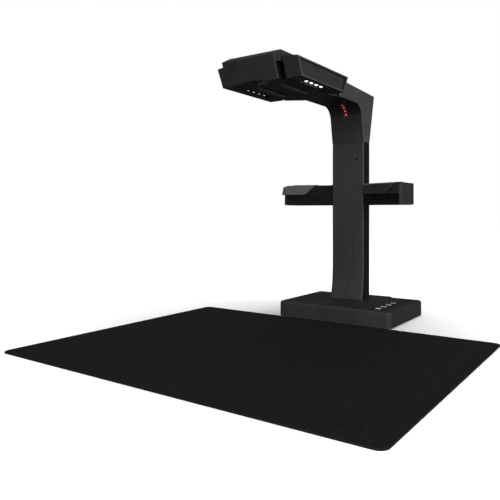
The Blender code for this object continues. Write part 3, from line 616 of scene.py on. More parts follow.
def finish_piece(piece, finish, body, nodes=()):
    """Move the piece behind the mat, paint it, and tell the frame what it is."""
    piece.location.y += FRONT_Y
    settle(piece)
    bpy.ops.object.shade_smooth_by_angle(angle=SMOOTH_BELOW)
    apply_modifier(piece, "WEIGHTED_NORMAL", keep_sharp=True, weight=90)
    piece.data.materials.clear()
    piece.data.materials.append(finish)
    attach(piece, body)
    if nodes:
        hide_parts(*nodes)
    print(piece.name, "faces:", len(piece.data.polygons))
    return piece


print("bench ready")

# %% [markdown]
# ## The base
# The base is a flat weighted box with round corners. Its top edge is rolled over, and a low wedge runs
# back to the column. A cube gives the box; the four upright edges are bevelled first with a large
# radius and the rim after that with a small one, so that the rim flows round the corners. `HALF` is
# half the column's width, which the neck, the arm and the head's tail share.

# %% Base cover
HALF_W, BASE_D, BASE_TOP = 0.102, 0.152, 0.028
BASE_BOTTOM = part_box("base_top_cover")[0][2]
PLINTH_TOP = 0.0325
HALF = 0.0298


def make_base_cover():
    """The box with the faceted wedge that rises to the column."""
    cover = round_block("base_cover", (-HALF_W, 0, BASE_BOTTOM), (HALF_W, BASE_D, BASE_TOP), 0.0075, 8)
    bevel_edges(cover, above(BASE_TOP - 0.001), 0.0040, 5)
    wedge = block("wedge", (-0.047, 0.010, 0.024), (0.047, 0.1465, PLINTH_TOP))
    slice_line(wedge, (0.010, 0.0272), (0.0500, PLINTH_TOP), "x", (0, -1, 1))
    slice_line(wedge, (0.1465, 0.0298), (0.0985, PLINTH_TOP), "x", (0, 1, 1))
    for side in (-1, 1):
        start, across = Vector((side * 0.043, 0.013, 0.0276)), Vector((side * 0.047, 0.1465, 0.0296))
        along = Vector((side * 0.0320, 0.0900, PLINTH_TOP)) - start
        normal = along.cross(across - start)
        slice_off(wedge, start, normal if normal.z > 0 else -normal)
    bevel_edges(wedge, above(0.0268), 0.0016, 4)
    combine(cover, wedge, "UNION")
    return cover


base_cover = make_base_cover()
print("base faces:", len(base_cover.data.polygons))

# %% [markdown]
# The key panel lies in a shallow recess on the right, and the sockets open at the back, so those are
# cut out. The inside is hollow, and the measured bottom plate closes it. `FIT` is the gap all round.

# %% Openings in the base
KEY_X, KEY_W, KEY_D = 0.0745, 0.0130, 0.0150
KEY_YS = [0.0200 + 0.0215 * i for i in range(4)]
SOCKETS = ("power_inlet", "usb_socket", "video_socket")
FIT = 0.0004
panel_low, panel_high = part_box("key_panel")


def key_box(name, y, gap, low, high, radius=0.0, segments=0):
    """A box round one key's outline, larger by gap, with round corners if a radius is given."""
    wide, deep = KEY_W / 2 + gap, KEY_D / 2 + gap
    corners = (KEY_X - wide, y - deep, low), (KEY_X + wide, y + deep, high)
    return round_block(name, *corners, radius, segments) if radius else block(name, *corners)


def open_base(cover):
    """Cut the recess for the key panel, the wells under the keys, the sockets and the inside."""
    combine(cover, round_block("inside", (-0.0996, 0.0024, 0.0), (0.0996, 0.1496, 0.0250), 0.0050, 4))
    combine(cover, round_block("recess", (panel_low.x - FIT, panel_low.y - FRONT_Y - FIT, BASE_TOP - 0.0012),
                               (panel_high.x + FIT, panel_high.y - FRONT_Y + FIT, 0.04), 0.0012, 3))
    combine(cover, put_together("wells", [key_box("well", y, 0.001, 0.0200, 0.0300) for y in KEY_YS]))
    for node in SOCKETS:
        low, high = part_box(node)
        combine(cover, block("mouth", (low.x - FIT, 0.140, low.z - FIT), (high.x + FIT, 0.160, high.z + FIT)))


open_base(base_cover)
finish_piece(base_cover, CASE, "stand", ["base_top_cover"])

# %% [markdown]
# ## The keys
# Four keys lie in a row on the right of the base. Each is a small cap with a dished top and a printed
# symbol, and it rides on its own body, because it sinks when it is pressed. The symbols are plain
# shapes: a page, a lamp, two overlapping pages and a power ring.

# %% Key caps
KEY_TOP = BASE_TOP + 0.0009
INK_T, STROKE = 0.00012, 0.0009


def make_keycap(name, y):
    """A cap with rounded corners and a slightly dished top."""
    cap = key_box(name, y, 0.0, BASE_TOP - 0.0028, KEY_TOP, 0.0015, 4)
    bevel_edges(cap, above(KEY_TOP - 0.0001), 0.0004, 3)
    inset_faces(cap, lambda c, n: n.z > 0.9999, 0.0009, -0.00015)
    return cap


def ink_bar(x0, y0, x1, y1, wide=0.0010):
    """A straight printed stroke from one point to another."""
    run = Vector((x1 - x0, y1 - y0, 0))
    bar = block("ink", (-run.length / 2, -wide / 2, 0), (run.length / 2, wide / 2, INK_T))
    bar.rotation_euler.z = math.atan2(run.y, run.x)
    bar.location = ((x0 + x1) / 2, (y0 + y1) / 2, 0)
    settle(bar)
    return bar


def ink_ring(x, y, outer, inner):
    """A printed ring."""
    ring = rod("ink", (x, y, INK_T / 2), outer, INK_T, sides=28)
    combine(ring, rod("hole", (x, y, INK_T / 2), inner, INK_T * 4, sides=28))
    return ring


def ink_page(x, y, wide, tall):
    """The outline of a page."""
    across, up = wide / 2, tall / 2
    page = block("ink", (x - across, y - up, 0), (x + across, y + up, INK_T))
    across, up = across - STROKE, up - STROKE
    combine(page, block("hole", (x - across, y - up, -0.001), (x + across, y + up, 0.001)))
    return page


def rays(count, inner, outer):
    """Short strokes round the middle."""
    turns = [2 * math.pi * i / count for i in range(count)]
    return [ink_bar(inner * math.cos(t), inner * math.sin(t), outer * math.cos(t), outer * math.sin(t),
                    0.0008) for t in turns]


SYMBOLS = {
    "scan_key": lambda: [ink_page(0, 0, 0.0072, 0.0094), ink_bar(-0.0020, 0.0018, 0.0020, 0.0018),
                         ink_bar(-0.0020, -0.0004, 0.0020, -0.0004),
                         ink_bar(-0.0020, -0.0026, 0.0008, -0.0026)],
    "light_key": lambda: [ink_ring(0, 0, 0.0024, 0.0014)] + rays(8, 0.0033, 0.0048),
    "mode_key": lambda: [ink_page(-0.0014, 0.0012, 0.0062, 0.0070),
                         ink_bar(-0.0012, -0.0046, 0.0044, -0.0046),
                         ink_bar(0.0044, -0.0046, 0.0044, 0.0020)],
    "power_key": lambda: [ink_ring(0, -0.0004, 0.0042, 0.0031), ink_bar(0, 0.0006, 0, 0.0056)],
}

for key, y in zip(SYMBOLS, KEY_YS):
    finish_piece(make_keycap(key + "_cap", y), KEYCAP, key + "_body", [key])
    strokes = put_together(key + "_symbol", SYMBOLS[key]())
    strokes.location = (KEY_X, y, KEY_TOP - 0.00015)
    finish_piece(strokes, PRINT_WHITE, key + "_body")

# %% [markdown]
# The panel round the keys is a thin plate, flush with the base, with a window for each cap.

# %% Key panel
def make_key_panel():
    """A thin plate with round corners and four windows."""
    plate = round_block("key_panel_plate", (panel_low.x, panel_low.y - FRONT_Y, panel_low.z),
                        (panel_high.x, panel_high.y - FRONT_Y, panel_high.z), 0.0010, 3)
    windows = [key_box("window", y, FIT, 0.020, 0.040, 0.0018, 4) for y in KEY_YS]
    combine(plate, put_together("windows", windows))
    return plate


finish_piece(make_key_panel(), TRIM_AND_GAP_SHADE, "stand", ["key_panel"])

# %% [markdown]
# ## The column
# The front of the column runs straight down and sweeps forward at the foot. That is made by hand the
# slow way: the bottom face of a block is extruded downwards in short steps, and at each step the front
# edge is pulled forward a little more. The six grooves are cut by bars that were swept the same way.

# %% Column front
COL_FRONT, COL_SPLIT, COL_BACK, COL_TOP = 0.0630, 0.0780, 0.0885, 0.3035
SWEEP, SWEEP_TOP, SWEEP_STEPS = 0.0085, 0.1150, 14
EYE_X, EYE_Z = 0.0165, 0.2754
COL_LOW = PLINTH_TOP + 0.0004
WALL = 0.0024


def sweep_at(height):
    """How far the front stands forward at this height."""
    if height >= SWEEP_TOP:
        return 0.0
    return SWEEP * ((SWEEP_TOP - height) / (SWEEP_TOP - PLINTH_TOP)) ** 3


def pull_down(bar, moving, low):
    """Extrude the bottom face down to low; the corners that pass the test follow the sweep."""
    drop = (SWEEP_TOP - low) / SWEEP_STEPS
    height = SWEEP_TOP
    for _ in range(SWEEP_STEPS):
        pick_faces(bar, lambda c, n: n.z < -0.9 and c.z < height + 0.0001)
        bpy.ops.mesh.extrude_region_move(TRANSFORM_OT_translate={"value": (0, 0, -drop)})
        bpy.ops.object.mode_set(mode="OBJECT")
        step = sweep_at(height - drop) - sweep_at(height)
        height -= drop
        only(bar)
        for part in (*bar.data.edges, *bar.data.polygons):
            part.select = False
        for corner in bar.data.vertices:
            corner.select = corner.co.z < height + 0.0001 and moving(corner.co)
        bpy.context.tool_settings.mesh_select_mode = (True, False, False)
        bpy.ops.object.mode_set(mode="EDIT")
        bpy.ops.transform.translate(value=(0, -step, 0))
        bpy.ops.object.mode_set(mode="OBJECT")


def groove_bars():
    """Six bars whose backs lie a groove's depth behind the column's front."""
    depth, top = 0.0018, 0.178
    bars = []
    for i in range(6):
        x = -0.0220 + 0.0064 * i
        bar = block("bar", (x - 0.0014, 0.040, SWEEP_TOP), (x + 0.0014, COL_FRONT + depth, top))
        slice_line(bar, (COL_FRONT + depth, top - 0.030), (COL_FRONT - 0.0002, top + 0.002), "x", (0, 1, 1))
        pull_down(bar, lambda co: co.y > 0.046, COL_LOW - 0.004)
        bevel_edges(bar, lambda a, b: min(a.y, b.y) > 0.046 and upright(a, b) and abs(a.x - b.x) < 0.0001,
                    0.0008, 3)
        bars.append(bar)
    return put_together("bars", bars)


def make_column_front():
    """The swept front cover, hollow towards the back, with grooves and an eye for the sensor."""
    front = block("column_front", (-HALF, COL_FRONT, SWEEP_TOP), (HALF, COL_SPLIT, COL_TOP))
    pull_down(front, lambda co: co.y < COL_FRONT + 0.004, COL_LOW)
    bevel_edges(front, lambda a, b: max(a.y, b.y) < COL_FRONT + 0.003 and abs(a.x - b.x) < 0.0001, 0.0022, 5)
    combine(front, block("hollow", (WALL - HALF, COL_FRONT + 0.0054, 0.0),
                         (HALF - WALL, 0.10, COL_TOP - WALL)))
    combine(front, groove_bars())
    combine(front, rod("eye_hole", (EYE_X, COL_FRONT, EYE_Z), 0.0023, 0.014, "y", 24))
    round_edges(front, 0.0003, 2, 40)
    return front


def paint_sides(piece, finish, test):
    """Give the faces that pass the test one more finish."""
    piece.data.materials.append(finish)
    for face in piece.data.polygons:
        if test(face.center, face.normal):
            face.material_index = len(piece.data.materials) - 1


column_front = finish_piece(make_column_front(), CASE, "stand", ["column_front_cover"])
paint_sides(column_front, TRIM_AND_GAP_SHADE, lambda c, n: abs(n.x) > 0.98 and abs(c.x) > HALF - 0.0005)

# %% [markdown]
# The rear cover is a shallow channel in glossier black. A long recessed field keeps the tall back from
# looking like a plank. The sensor's eye is a small domed lens.

# %% Column rear and sensor
def make_column_rear():
    """The rear channel with a recessed field."""
    rear = block("column_rear", (-HALF, COL_SPLIT + 0.0003, COL_LOW), (HALF, COL_BACK, COL_TOP))
    bevel_edges(rear, lambda a, b: min(a.y, b.y) > COL_BACK - 0.001 and abs(a.z - b.z) > 0.1, 0.0016, 4)
    inset_faces(rear, lambda c, n: n.y > 0.9999, 0.0060, -0.0007)
    combine(rear, block("hollow", (WALL - HALF, 0.070, 0.0), (HALF - WALL, COL_BACK - WALL, COL_TOP - WALL)))
    round_edges(rear, 0.0003, 2, 40)
    return rear


finish_piece(make_column_rear(), TRIM_AND_GAP_SHADE, "stand", ["column_rear_cover"])

eye = rod("sensor_eye", (EYE_X, COL_FRONT + 0.0017, EYE_Z), 0.0020, 0.0030, "y", 32)
bevel_edges(eye, lambda a, b: max(a.y, b.y) < COL_FRONT + 0.0006, 0.0007, 5)
finish_piece(eye, TRIM_AND_GAP_SHADE, "stand", ["sensor_window"])

# %% [markdown]
# ## The arm
# The outer shell is a bent plate box: its back and top are straight facets, and its inside corner is a
# large round. The block is sliced for the facets. The room inside the corner is a second block with one
# big rounded edge, and cutting it away leaves the bend. The inner cover is a second block that is cut by
# the same corner, a little larger outside and a little smaller inside, as a bent sheet would be.

# %% Arm
ARM_TOP, ARM_FRONT, BELLY = 0.3935, -0.0300, 0.3662
PEAK = (0.1090, 0.3890)
NECK_LOW = COL_TOP + 0.0003
FILLET, SKIN = 0.019, 0.0085
LEAN, PLATE = 0.0075, 0.0022
CORNER_Y = COL_FRONT - LEAN - FILLET
CORNER_Z = BELLY - FILLET


def corner_room(offset, wide):
    """The open room under the arm, grown by offset; its top rear edge is the round."""
    room = block("room", (-wide, -0.2, 0.2), (wide, COL_FRONT + offset, BELLY + offset))
    slice_line(room, (COL_FRONT + offset, NECK_LOW), (COL_FRONT - LEAN + offset, CORNER_Z), "x", (0, 1, 0))
    bevel_edges(room, lambda a, b: min(a.y, b.y) > 0 and above(BELLY + offset - 0.0001)(a, b),
                FILLET + offset, 14)
    return room


def make_arm_shell():
    """The outer shell of neck and arm, with a channel for the inner cover between its side plates."""
    shell = block("arm_shell", (-HALF, ARM_FRONT, NECK_LOW), (HALF, PEAK[0] + 0.001, ARM_TOP))
    slice_line(shell, (0.0020, ARM_TOP), PEAK, "x", (0, 0, 1))
    slice_line(shell, PEAK, (COL_BACK, NECK_LOW), "x", (0, 1, 0))
    combine(shell, corner_room(0.0, HALF + 0.01))
    combine(shell, corner_room(SKIN + 0.0004, HALF - PLATE))
    round_edges(shell, 0.0010, 3, 25)
    return shell


def make_arm_inner():
    """The inner cover: a strip that goes up the neck, round the corner and forward to the head."""
    wide = HALF - PLATE - 0.0003
    cover = block("arm_inner", (-wide, -0.06, NECK_LOW), (wide, COL_FRONT + SKIN, BELLY + SKIN))
    slice_line(cover, (COL_FRONT + SKIN, NECK_LOW), (COL_FRONT - LEAN + SKIN, CORNER_Z), "x", (0, 1, 0))
    slice_off(cover, (0, ARM_FRONT, 0), (0, -1, 0))
    bevel_edges(cover, lambda a, b: min(a.y, b.y) > 0.03 and above(BELLY + SKIN - 0.0001)(a, b),
                FILLET + SKIN, 14)
    combine(cover, corner_room(0.0003, HALF + 0.01))
    round_edges(cover, 0.0004, 2, 25)
    return cover


arm_shell = finish_piece(make_arm_shell(), CASE, "stand", ["arm_outer_shell"])
# The arm's sides get the paler finish: a painted highlight where they face the light.
paint_sides(arm_shell, PAINTED_HIGHLIGHT, lambda c, n: abs(n.x) > 0.9 and abs(c.x) > HALF - 0.0006)
arm_inner = make_arm_inner()

# %% [markdown]
# ## The laser
# Four red dots look out of a curved slot in the inside corner. The slot is cut with a thin slice of a
# cylinder, and its window is the same slice, a little smaller. Each dot is a small glowing dome.

# %% Laser slot, window and dots
def corner_slice(name, wide, near, far, first, last):
    """The part of a ring round the corner's middle that lies behind it, between two angles."""
    ring = rod(name, (0, CORNER_Y, CORNER_Z), far, wide, "x", 96)
    combine(ring, rod("core", (0, CORNER_Y, CORNER_Z), near, wide * 3, "x", 96))
    for angle, side in ((first, -1), (last, 1)):
        t = math.radians(angle)
        slice_off(ring, (0, CORNER_Y, CORNER_Z), (0, -side * math.sin(t), side * math.cos(t)))
    slice_off(ring, (0, CORNER_Y - 0.001, 0), (0, -1, 0))
    return ring


combine(arm_inner, corner_slice("slot", 0.0088, FILLET - 0.004, FILLET + 0.0060, 3, 86))
finish_piece(arm_inner, CASE, "stand", ["arm_inner_cover"])

pane = corner_slice("laser_pane", 0.0080, FILLET + 0.0008, FILLET + 0.0020, 4.5, 84.5)
finish_piece(pane, RED_PANE_PAINTED_GLOW, "stand", ["laser_window"])

for i in range(4):
    t, reach = math.radians(14 + 61 * i / 3), FILLET + 0.0009
    dot = rod("laser_dot_%d" % (i + 1), (0, 0, 0), 0.0018, 0.0018, "z", 24, 0.0011)
    bevel_edges(dot, above(0.0006), 0.0004, 4)
    dot.rotation_euler.x = t + math.pi / 2
    dot.location = (0, CORNER_Y + reach * math.cos(t), CORNER_Z + reach * math.sin(t))
    finish_piece(dot, LASER_GLOW, "stand", ["laser_lens_%d" % (i + 1)])

# %% [markdown]
# ## The head
# The head is a wedge-nosed box: a front face that leans in towards the bottom, a slanted brow above it,
# and sides that narrow to the arm at the back. All facets are slices of one block. The lower edge of
# the front is arched, and at each front corner a notch leaves a gap before the lamp pod, dark from its
# own shade and from painted shade on its back wall.

# %% Head top cover
HEAD_HALF = 0.0414
HEAD_FRONT, HEAD_LIP, HEAD_BROW, BROW_Y = -0.2400, -0.2280, 0.3845, -0.2220
HEAD_LOW, HEAD_BACK, TAPER_Y, SIDE_LOW = 0.3545, ARM_FRONT - 0.0003, -0.0800, 0.3700
POD_FRONT, POD_BACK, NOSE_WALL = -0.2199, -0.0710, 0.0018


def narrow_tail(piece, half, tail):
    """Slice both sides so that they run in to the arm behind the taper line."""
    for side in (-1, 1):
        slice_line(piece, (side * half, TAPER_Y), (side * tail, HEAD_BACK), "z", (side, 0, 0))


def make_head_top():
    """The top cover with its nose, side walls, corner notches and arched lip."""
    top = block("head_top", (-HEAD_HALF, HEAD_FRONT - 0.001, HEAD_LOW), (HEAD_HALF, HEAD_BACK, ARM_TOP))
    slice_line(top, (HEAD_LIP, HEAD_LOW), (HEAD_FRONT, HEAD_BROW), "x", (0, -1, 0))
    slice_line(top, (HEAD_FRONT, HEAD_BROW), (BROW_Y, ARM_TOP), "x", (0, -1, 1))
    narrow_tail(top, HEAD_HALF, HALF)
    bevel_edges(top, lambda a, b: abs(a.x - b.x) < 0.0001 and max(a.y, b.y) < HEAD_LIP + 0.001
                and abs(a.z - b.z) > 0.01, 0.0014, 3)
    under = block("under", (WALL - HEAD_HALF, HEAD_LIP + 0.0064, 0.34), (HEAD_HALF - WALL, 0.0, 0.3886))
    narrow_tail(under, HEAD_HALF - WALL, HALF - WALL)
    combine(top, under)
    combine(top, block("below_walls", (-0.06, HEAD_LIP + 0.0062, 0.34), (0.06, 0.0, SIDE_LOW)))
    notch = block("notch", (0.0330, HEAD_FRONT - 0.002, 0.34), (0.0500, POD_FRONT + 0.0120, 0.3822))
    slice_line(notch, (HEAD_LIP + NOSE_WALL, HEAD_LOW), (HEAD_FRONT + NOSE_WALL, HEAD_BROW), "x", (0, -1, 0))
    slice_line(notch, (HEAD_FRONT + NOSE_WALL, 0.3752), (POD_FRONT + 0.0040, 0.3800), "x", (0, 0, 1))
    cut_both_sides(top, notch)
    combine(top, rod("arch", (0, HEAD_LIP, HEAD_LOW - 0.0980), 0.1003, 0.040, "y", 160))
    round_edges(top, 0.0008, 3, 22)
    return top


head_top = finish_piece(make_head_top(), CASE, "stand", ["head_top_cover"])
# The back walls of the corner notches get the dark trim colour: painted shade in the gap before each pod.
paint_sides(head_top, TRIM_AND_GAP_SHADE, lambda c, n: n.y < -0.5 and c.y - FRONT_Y > HEAD_LIP + 0.006)

# %% [markdown]
# The bottom cover is a tray. Seen from below it has two long ridges, whose faces catch the light and
# whose lower faces also get a painted highlight, and a ring round the camera's window. The ring is a
# cylinder with a rounded rim, welded on and then bored.

# %% Head bottom cover
FLOOR_Z, LENS_Y = 0.3590, -0.2000
WINDOW_R, RIDGE_H = 0.0110, 0.0026


def make_head_bottom():
    """The tray under the head with its ridges and the camera's ring."""
    tray = block("head_bottom", (-0.0386, HEAD_LIP + 0.0064, FLOOR_Z), (0.0386, HEAD_BACK - 0.0004, 0.3815))
    narrow_tail(tray, 0.0386, 0.0270)
    slice_line(tray, (TAPER_Y, FLOOR_Z), (HEAD_BACK, BELLY), "x", (0, 0, -1))
    cut_both_sides(tray, block("corner", (0.0330, -0.25, 0.34), (0.06, POD_FRONT + 0.0140, 0.40)))
    low = FLOOR_Z - RIDGE_H
    for x in (-0.0190, 0.0190):
        ridge = block("ridge", (x - 0.0034, -0.1840, low), (x + 0.0034, -0.1000, FLOOR_Z + 0.001))
        slice_line(ridge, (-0.1140, low), (-0.1000, FLOOR_Z), "x", (0, 0, -1))
        slice_line(ridge, (-0.1840, FLOOR_Z), (-0.1760, low), "x", (0, 0, -1))
        bevel_edges(ridge, lambda a, b: max(a.z, b.z) < FLOOR_Z and abs(a.y - b.y) > 0.01, 0.0018, 3)
        combine(tray, ridge, "UNION")
    ring = rod("ring", (0, LENS_Y, FLOOR_Z), 0.0145, 0.0024, "z", 64)
    bevel_edges(ring, below(FLOOR_Z - 0.001), 0.0008, 3)
    combine(tray, ring, "UNION")
    combine(tray, rod("window_hole", (0, LENS_Y, FLOOR_Z), WINDOW_R + 0.0003, 0.03, "z", 64))
    combine(tray, block("inside", (-0.0300, -0.19, FLOOR_Z + 0.0022), (0.0300, -0.082, 0.40)))
    round_edges(tray, 0.0005, 2, 30)
    return tray


head_bottom = finish_piece(make_head_bottom(), CASE, "stand", ["head_bottom_cover"])
# The front faces in the corners beside the pods get painted shade, and the ridges' lower faces a painted
# highlight.
paint_sides(head_bottom, TRIM_AND_GAP_SHADE, lambda c, n: n.y < -0.5 and abs(c.x) > 0.0325)
paint_sides(head_bottom, PAINTED_HIGHLIGHT_LINE, lambda c, n: n.z < -0.7 and c.z < FLOOR_Z - 0.6 * RIDGE_H)

window = rod("camera_pane", (0, LENS_Y, FLOOR_Z + 0.0009), WINDOW_R, 0.0012, "z", 64)
bevel_edges(window, below(FLOOR_Z + 0.0004), 0.0003, 2)
finish_piece(window, LENS_GLASS, "stand", ["camera_window"])

# %% [markdown]
# Behind the window sits the lens: a black barrel with fine steps, and a bulging front glass. The steps
# are insets pushed in one after another, much as a real barrel is turned.

# %% Lens
barrel_low, barrel_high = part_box("lens_barrel")
glass_low, glass_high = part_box("lens_glass")


def make_lens_barrel():
    """A stepped barrel that opens downwards."""
    tall = barrel_high.z - barrel_low.z
    barrel = rod("lens_tube", (0, LENS_Y, barrel_low.z + tall / 2), 0.0075, tall, "z", 48)
    for border, depth in ((0.0008, 0.0), (0.0004, -0.0010), (0.0006, -0.0008), (0.0003, -0.0016)):
        pick_faces(barrel, lambda c, n: n.z < -0.9 and (c.x ** 2 + (c.y - LENS_Y) ** 2) < 0.000001)
        bpy.ops.mesh.inset(thickness=border, depth=depth)
        bpy.ops.object.mode_set(mode="OBJECT")
    return barrel


finish_piece(make_lens_barrel(), TRIM_AND_GAP_SHADE, "stand", ["lens_barrel"])
glass_z = (glass_low.z + glass_high.z) / 2
bulge = rod("lens_bulge", (0, LENS_Y, glass_z + 0.0002), 0.0048, 0.0020, "z", 48)
bevel_edges(bulge, below(glass_z), 0.0012, 6)
finish_piece(bulge, LENS_GLASS, "stand", ["lens_glass"])

# %% [markdown]
# ## The lamp pods
# A pod hangs on each side of the head. Its front and back lean in towards the bottom, its side carries
# a framed panel, and underneath a long recess holds four LEDs. One pod is made on the right and
# mirrored to the left.

# %% Pods
POD_IN, POD_OUT, POD_LOW, POD_TOP = 0.0418, 0.0650, 0.3590, 0.3860
RAKE, POD_SLOPE, POD_LEAN, FRAME_EDGE = 0.0125, 0.0026, 0.0006, 0.0038
LAMP_TOP = 0.3650
LED_X, LED_YS = 0.0480, [-0.1664 + 0.0139 * i for i in range(4)]
led_low, led_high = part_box("led_lenses_right")


def raked_block(name, x_low, x_high, inset):
    """A block with the pod's side outline, drawn in by inset."""
    front, back = POD_FRONT + inset, POD_BACK - inset
    low, top = POD_LOW + inset * 0.6, POD_TOP - inset * 0.6
    piece = block(name, (x_low, front, low), (x_high, back, top))
    slice_line(piece, (front, POD_TOP), (front + RAKE, POD_LOW), "x", (0, -1, 0))
    slice_line(piece, (back, POD_TOP), (back - RAKE, POD_LOW), "x", (0, 1, 0))
    slice_line(piece, (POD_OUT, top - POD_SLOPE), (POD_IN, top), "y", (0, 0, 1))
    if inset == 0:
        slice_line(piece, (POD_OUT, POD_TOP), (POD_OUT - POD_LEAN, POD_LOW), "y", (1, 0, 0))
    return piece


def make_pod():
    """The right pod: shell, seat for the side panel, lamp recess and the wedge behind the lamps."""
    pod = raked_block("lamp_pod_right", POD_IN, POD_OUT, 0.0)
    combine(pod, raked_block("seat", POD_OUT - 0.0042, POD_OUT + 0.004, FRAME_EDGE))
    recess = block("recess", (0.0434, -0.1800, 0.34), (0.0585, -0.1230, LAMP_TOP))
    slice_line(recess, (0.0560, POD_LOW), (0.0535, LAMP_TOP), "y", (1, 0, 0))
    combine(pod, recess)
    wedge = block("wedge", (0.0434, -0.1232, 0.34), (0.0540, -0.1020, LAMP_TOP))
    slice_line(wedge, (-0.1200, LAMP_TOP), (-0.1030, POD_LOW), "x", (0, 0, 1))
    combine(pod, wedge)
    round_edges(pod, 0.0010, 3, 20)
    return pod


def make_pod_panel():
    """The flat panel that closes the pod's side."""
    panel = raked_block("pod_panel_plate_right", POD_OUT - 0.0040, POD_OUT - 0.0028, FRAME_EDGE + 0.0007)
    round_edges(panel, 0.0002, 2, 40)
    return panel


def make_led_carrier():
    """The black strip that holds the four lenses."""
    carrier = block("led_carrier_right", (led_low.x, led_low.y - FRONT_Y, led_high.z - 0.0009),
                    (led_high.x, led_high.y - FRONT_Y, led_high.z))
    bevel_edges(carrier, below(led_high.z - 0.0005), 0.0003, 2)
    return carrier


def make_led_row():
    """Four domed lenses."""
    domes = []
    for y in LED_YS:
        only(None)
        bpy.ops.mesh.primitive_uv_sphere_add(segments=28, ring_count=14, radius=0.0030)
        dome = bpy.context.object
        dome.scale = (1, 1, 0.68)
        dome.location = (LED_X, y, led_high.z - 0.0005)
        settle(dome)
        slice_off(dome, (0, 0, led_high.z - 0.0006), (0, 0, 1))
        domes.append(dome)
    return put_together("led_row_right", domes)


def on_pod_frame(centre, normal):
    """Whether a face belongs to the frame round a pod's side panel."""
    return abs(normal.x) > 0.6 and abs(centre.x) > POD_OUT - 0.0012


RIGHT_SIDE = [
    (make_pod(), "lamp_pod_left", CASE, "black_plastic", "light_pod"),
    (make_pod_panel(), "pod_panel_plate_left", PANEL_SKIN, "black_plastic", "pod_panel"),
    (make_led_row(), "led_row_left", LED_GLOW, "led_white", "led_lenses"),
    (make_led_carrier(), "led_carrier_left", TRIM_AND_GAP_SHADE, "black_plastic", "led_lenses"),
]
for piece, left_name, finish, slot, node in RIGHT_SIDE:
    left = mirror_piece(piece, left_name)
    finish_piece(piece, finish, "stand", [node + "_right"])
    finish_piece(left, finish, "stand", [node + "_left"])
    # The frame round each pod's side panel gets the paler finish: a painted highlight on its border.
    if node == "light_pod":
        paint_sides(piece, PAINTED_HIGHLIGHT, on_pod_frame)
        paint_sides(left, PAINTED_HIGHLIGHT, on_pod_frame)

# %% [markdown]
# ## The side light
# A clip slides round the column from behind and carries a wing on each side. Both wings are a swept bar
# with a raised hood over the lamp, and each hood ends in a slant. On the left the hood covers the outer
# part; on the right it covers the inner part, with a few slanted grip ribs next to its end. A smoked
# strip closes each lamp's slot.

# %% Clip
BAR_LOW, BAR_TOP, BAR_HALF, BAR_BACK = 0.1955, 0.2320, 0.1105, 0.0850
CLIP_OUT, CLIP_FRONT = HALF + 0.0046, 0.0670
LIP_X, ROOT_X = HALF + 0.0007, CLIP_OUT + 0.0003
ROOT_Y, TIP_Y = 0.0540, 0.0230
HOOD_H, HOOD_DEEP, HOOD_START, HOOD_SLANT = 0.0180, 0.0110, 0.0200, 0.0170
HOOD_LOW, HOOD_TIP = BAR_TOP - HOOD_H, BAR_HALF - 0.0012


def make_clip():
    """The U-shaped clip with a recessed panel at the back."""
    clip = block("light_clip", (-CLIP_OUT, CLIP_FRONT, BAR_LOW), (CLIP_OUT, 0.0971, BAR_TOP))
    bevel_edges(clip, lambda a, b: min(a.y, b.y) > 0.09 and upright(a, b), 0.0040, 6)
    combine(clip, block("way", (-HALF - 0.0006, 0.0, 0.1), (HALF + 0.0006, COL_BACK + 0.0006, 0.3)))
    inset_faces(clip, lambda c, n: n.y > 0.9999 and c.y > 0.096, 0.0050, -0.0006)
    round_edges(clip, 0.0008, 3, 30)
    return clip


finish_piece(make_clip(), CASE, "side_light", ["side_light_clip"])

# %% [markdown]
# Everything on a wing follows one swept front line. `swept_block` slices a block along it, and
# `lean_front` slices a front that leans back towards the top.

# %% Swept blocks
SWEEP_SLOPE = (TIP_Y - ROOT_Y) / (BAR_HALF - ROOT_X)


def front_at(x, back=0.0):
    """The point of the swept front line at this x, moved back."""
    return (x, ROOT_Y + SWEEP_SLOPE * (x - ROOT_X) + back)


def swept_block(name, x_low, x_high, z_low, z_high, back, rear):
    """A block whose front follows the swept line."""
    piece = block(name, (x_low, 0.0, z_low), (x_high, rear, z_high))
    slice_line(piece, front_at(x_low, back), front_at(x_high, back), "z", (0, -1, 0))
    return piece


def lean_front(piece, back, lean, outward):
    """Slice by the swept plane that leans back by lean over the hood's height."""
    low = Vector((*front_at(BAR_HALF, back), HOOD_LOW))
    along = Vector((*front_at(ROOT_X, back), HOOD_LOW)) - low
    up = Vector((*front_at(BAR_HALF, back + lean), BAR_TOP)) - low
    normal = along.cross(up)
    slice_off(piece, low, normal if normal.y * outward > 0 else -normal)


def clip_room():
    """The space that the clip fills beside the column, cut out of a wing."""
    return block("clip_room", (0.0, CLIP_FRONT - 0.0003, 0.1), (ROOT_X, 0.12, 0.3))


def make_bar(name):
    """The wing's bar: the set-back body with a lip that reaches in front of the clip."""
    bar = swept_block(name, LIP_X, BAR_HALF - 0.0030, BAR_LOW, BAR_TOP - 0.0006, HOOD_DEEP, BAR_BACK)
    slice_line(bar, (ROOT_X, BAR_BACK), (BAR_HALF - 0.003, BAR_BACK - 0.004), "z", (0, 1, 0))
    combine(bar, clip_room())
    round_edges(bar, 0.0012, 3, 30)
    return bar


def slice_rear(piece, back):
    """Slice along the swept line moved back, and keep what stands in front of it."""
    slice_line(piece, front_at(ROOT_X, back), front_at(BAR_HALF, back), "z", (0, 1, 0))


def cut_lamp_slot(wing):
    """The shallow slot under the hood where the lamp's strip shows."""
    slot = swept_block("slot", ROOT_X + 0.010, BAR_HALF - 0.010, BAR_LOW + 0.0080, BAR_TOP - 0.0190,
                       HOOD_DEEP - 0.006, 0.0750)
    slice_rear(slot, HOOD_DEEP + 0.0034)
    combine(wing, slot)


# %% Left wing
HOOD_LEAN = 0.0055


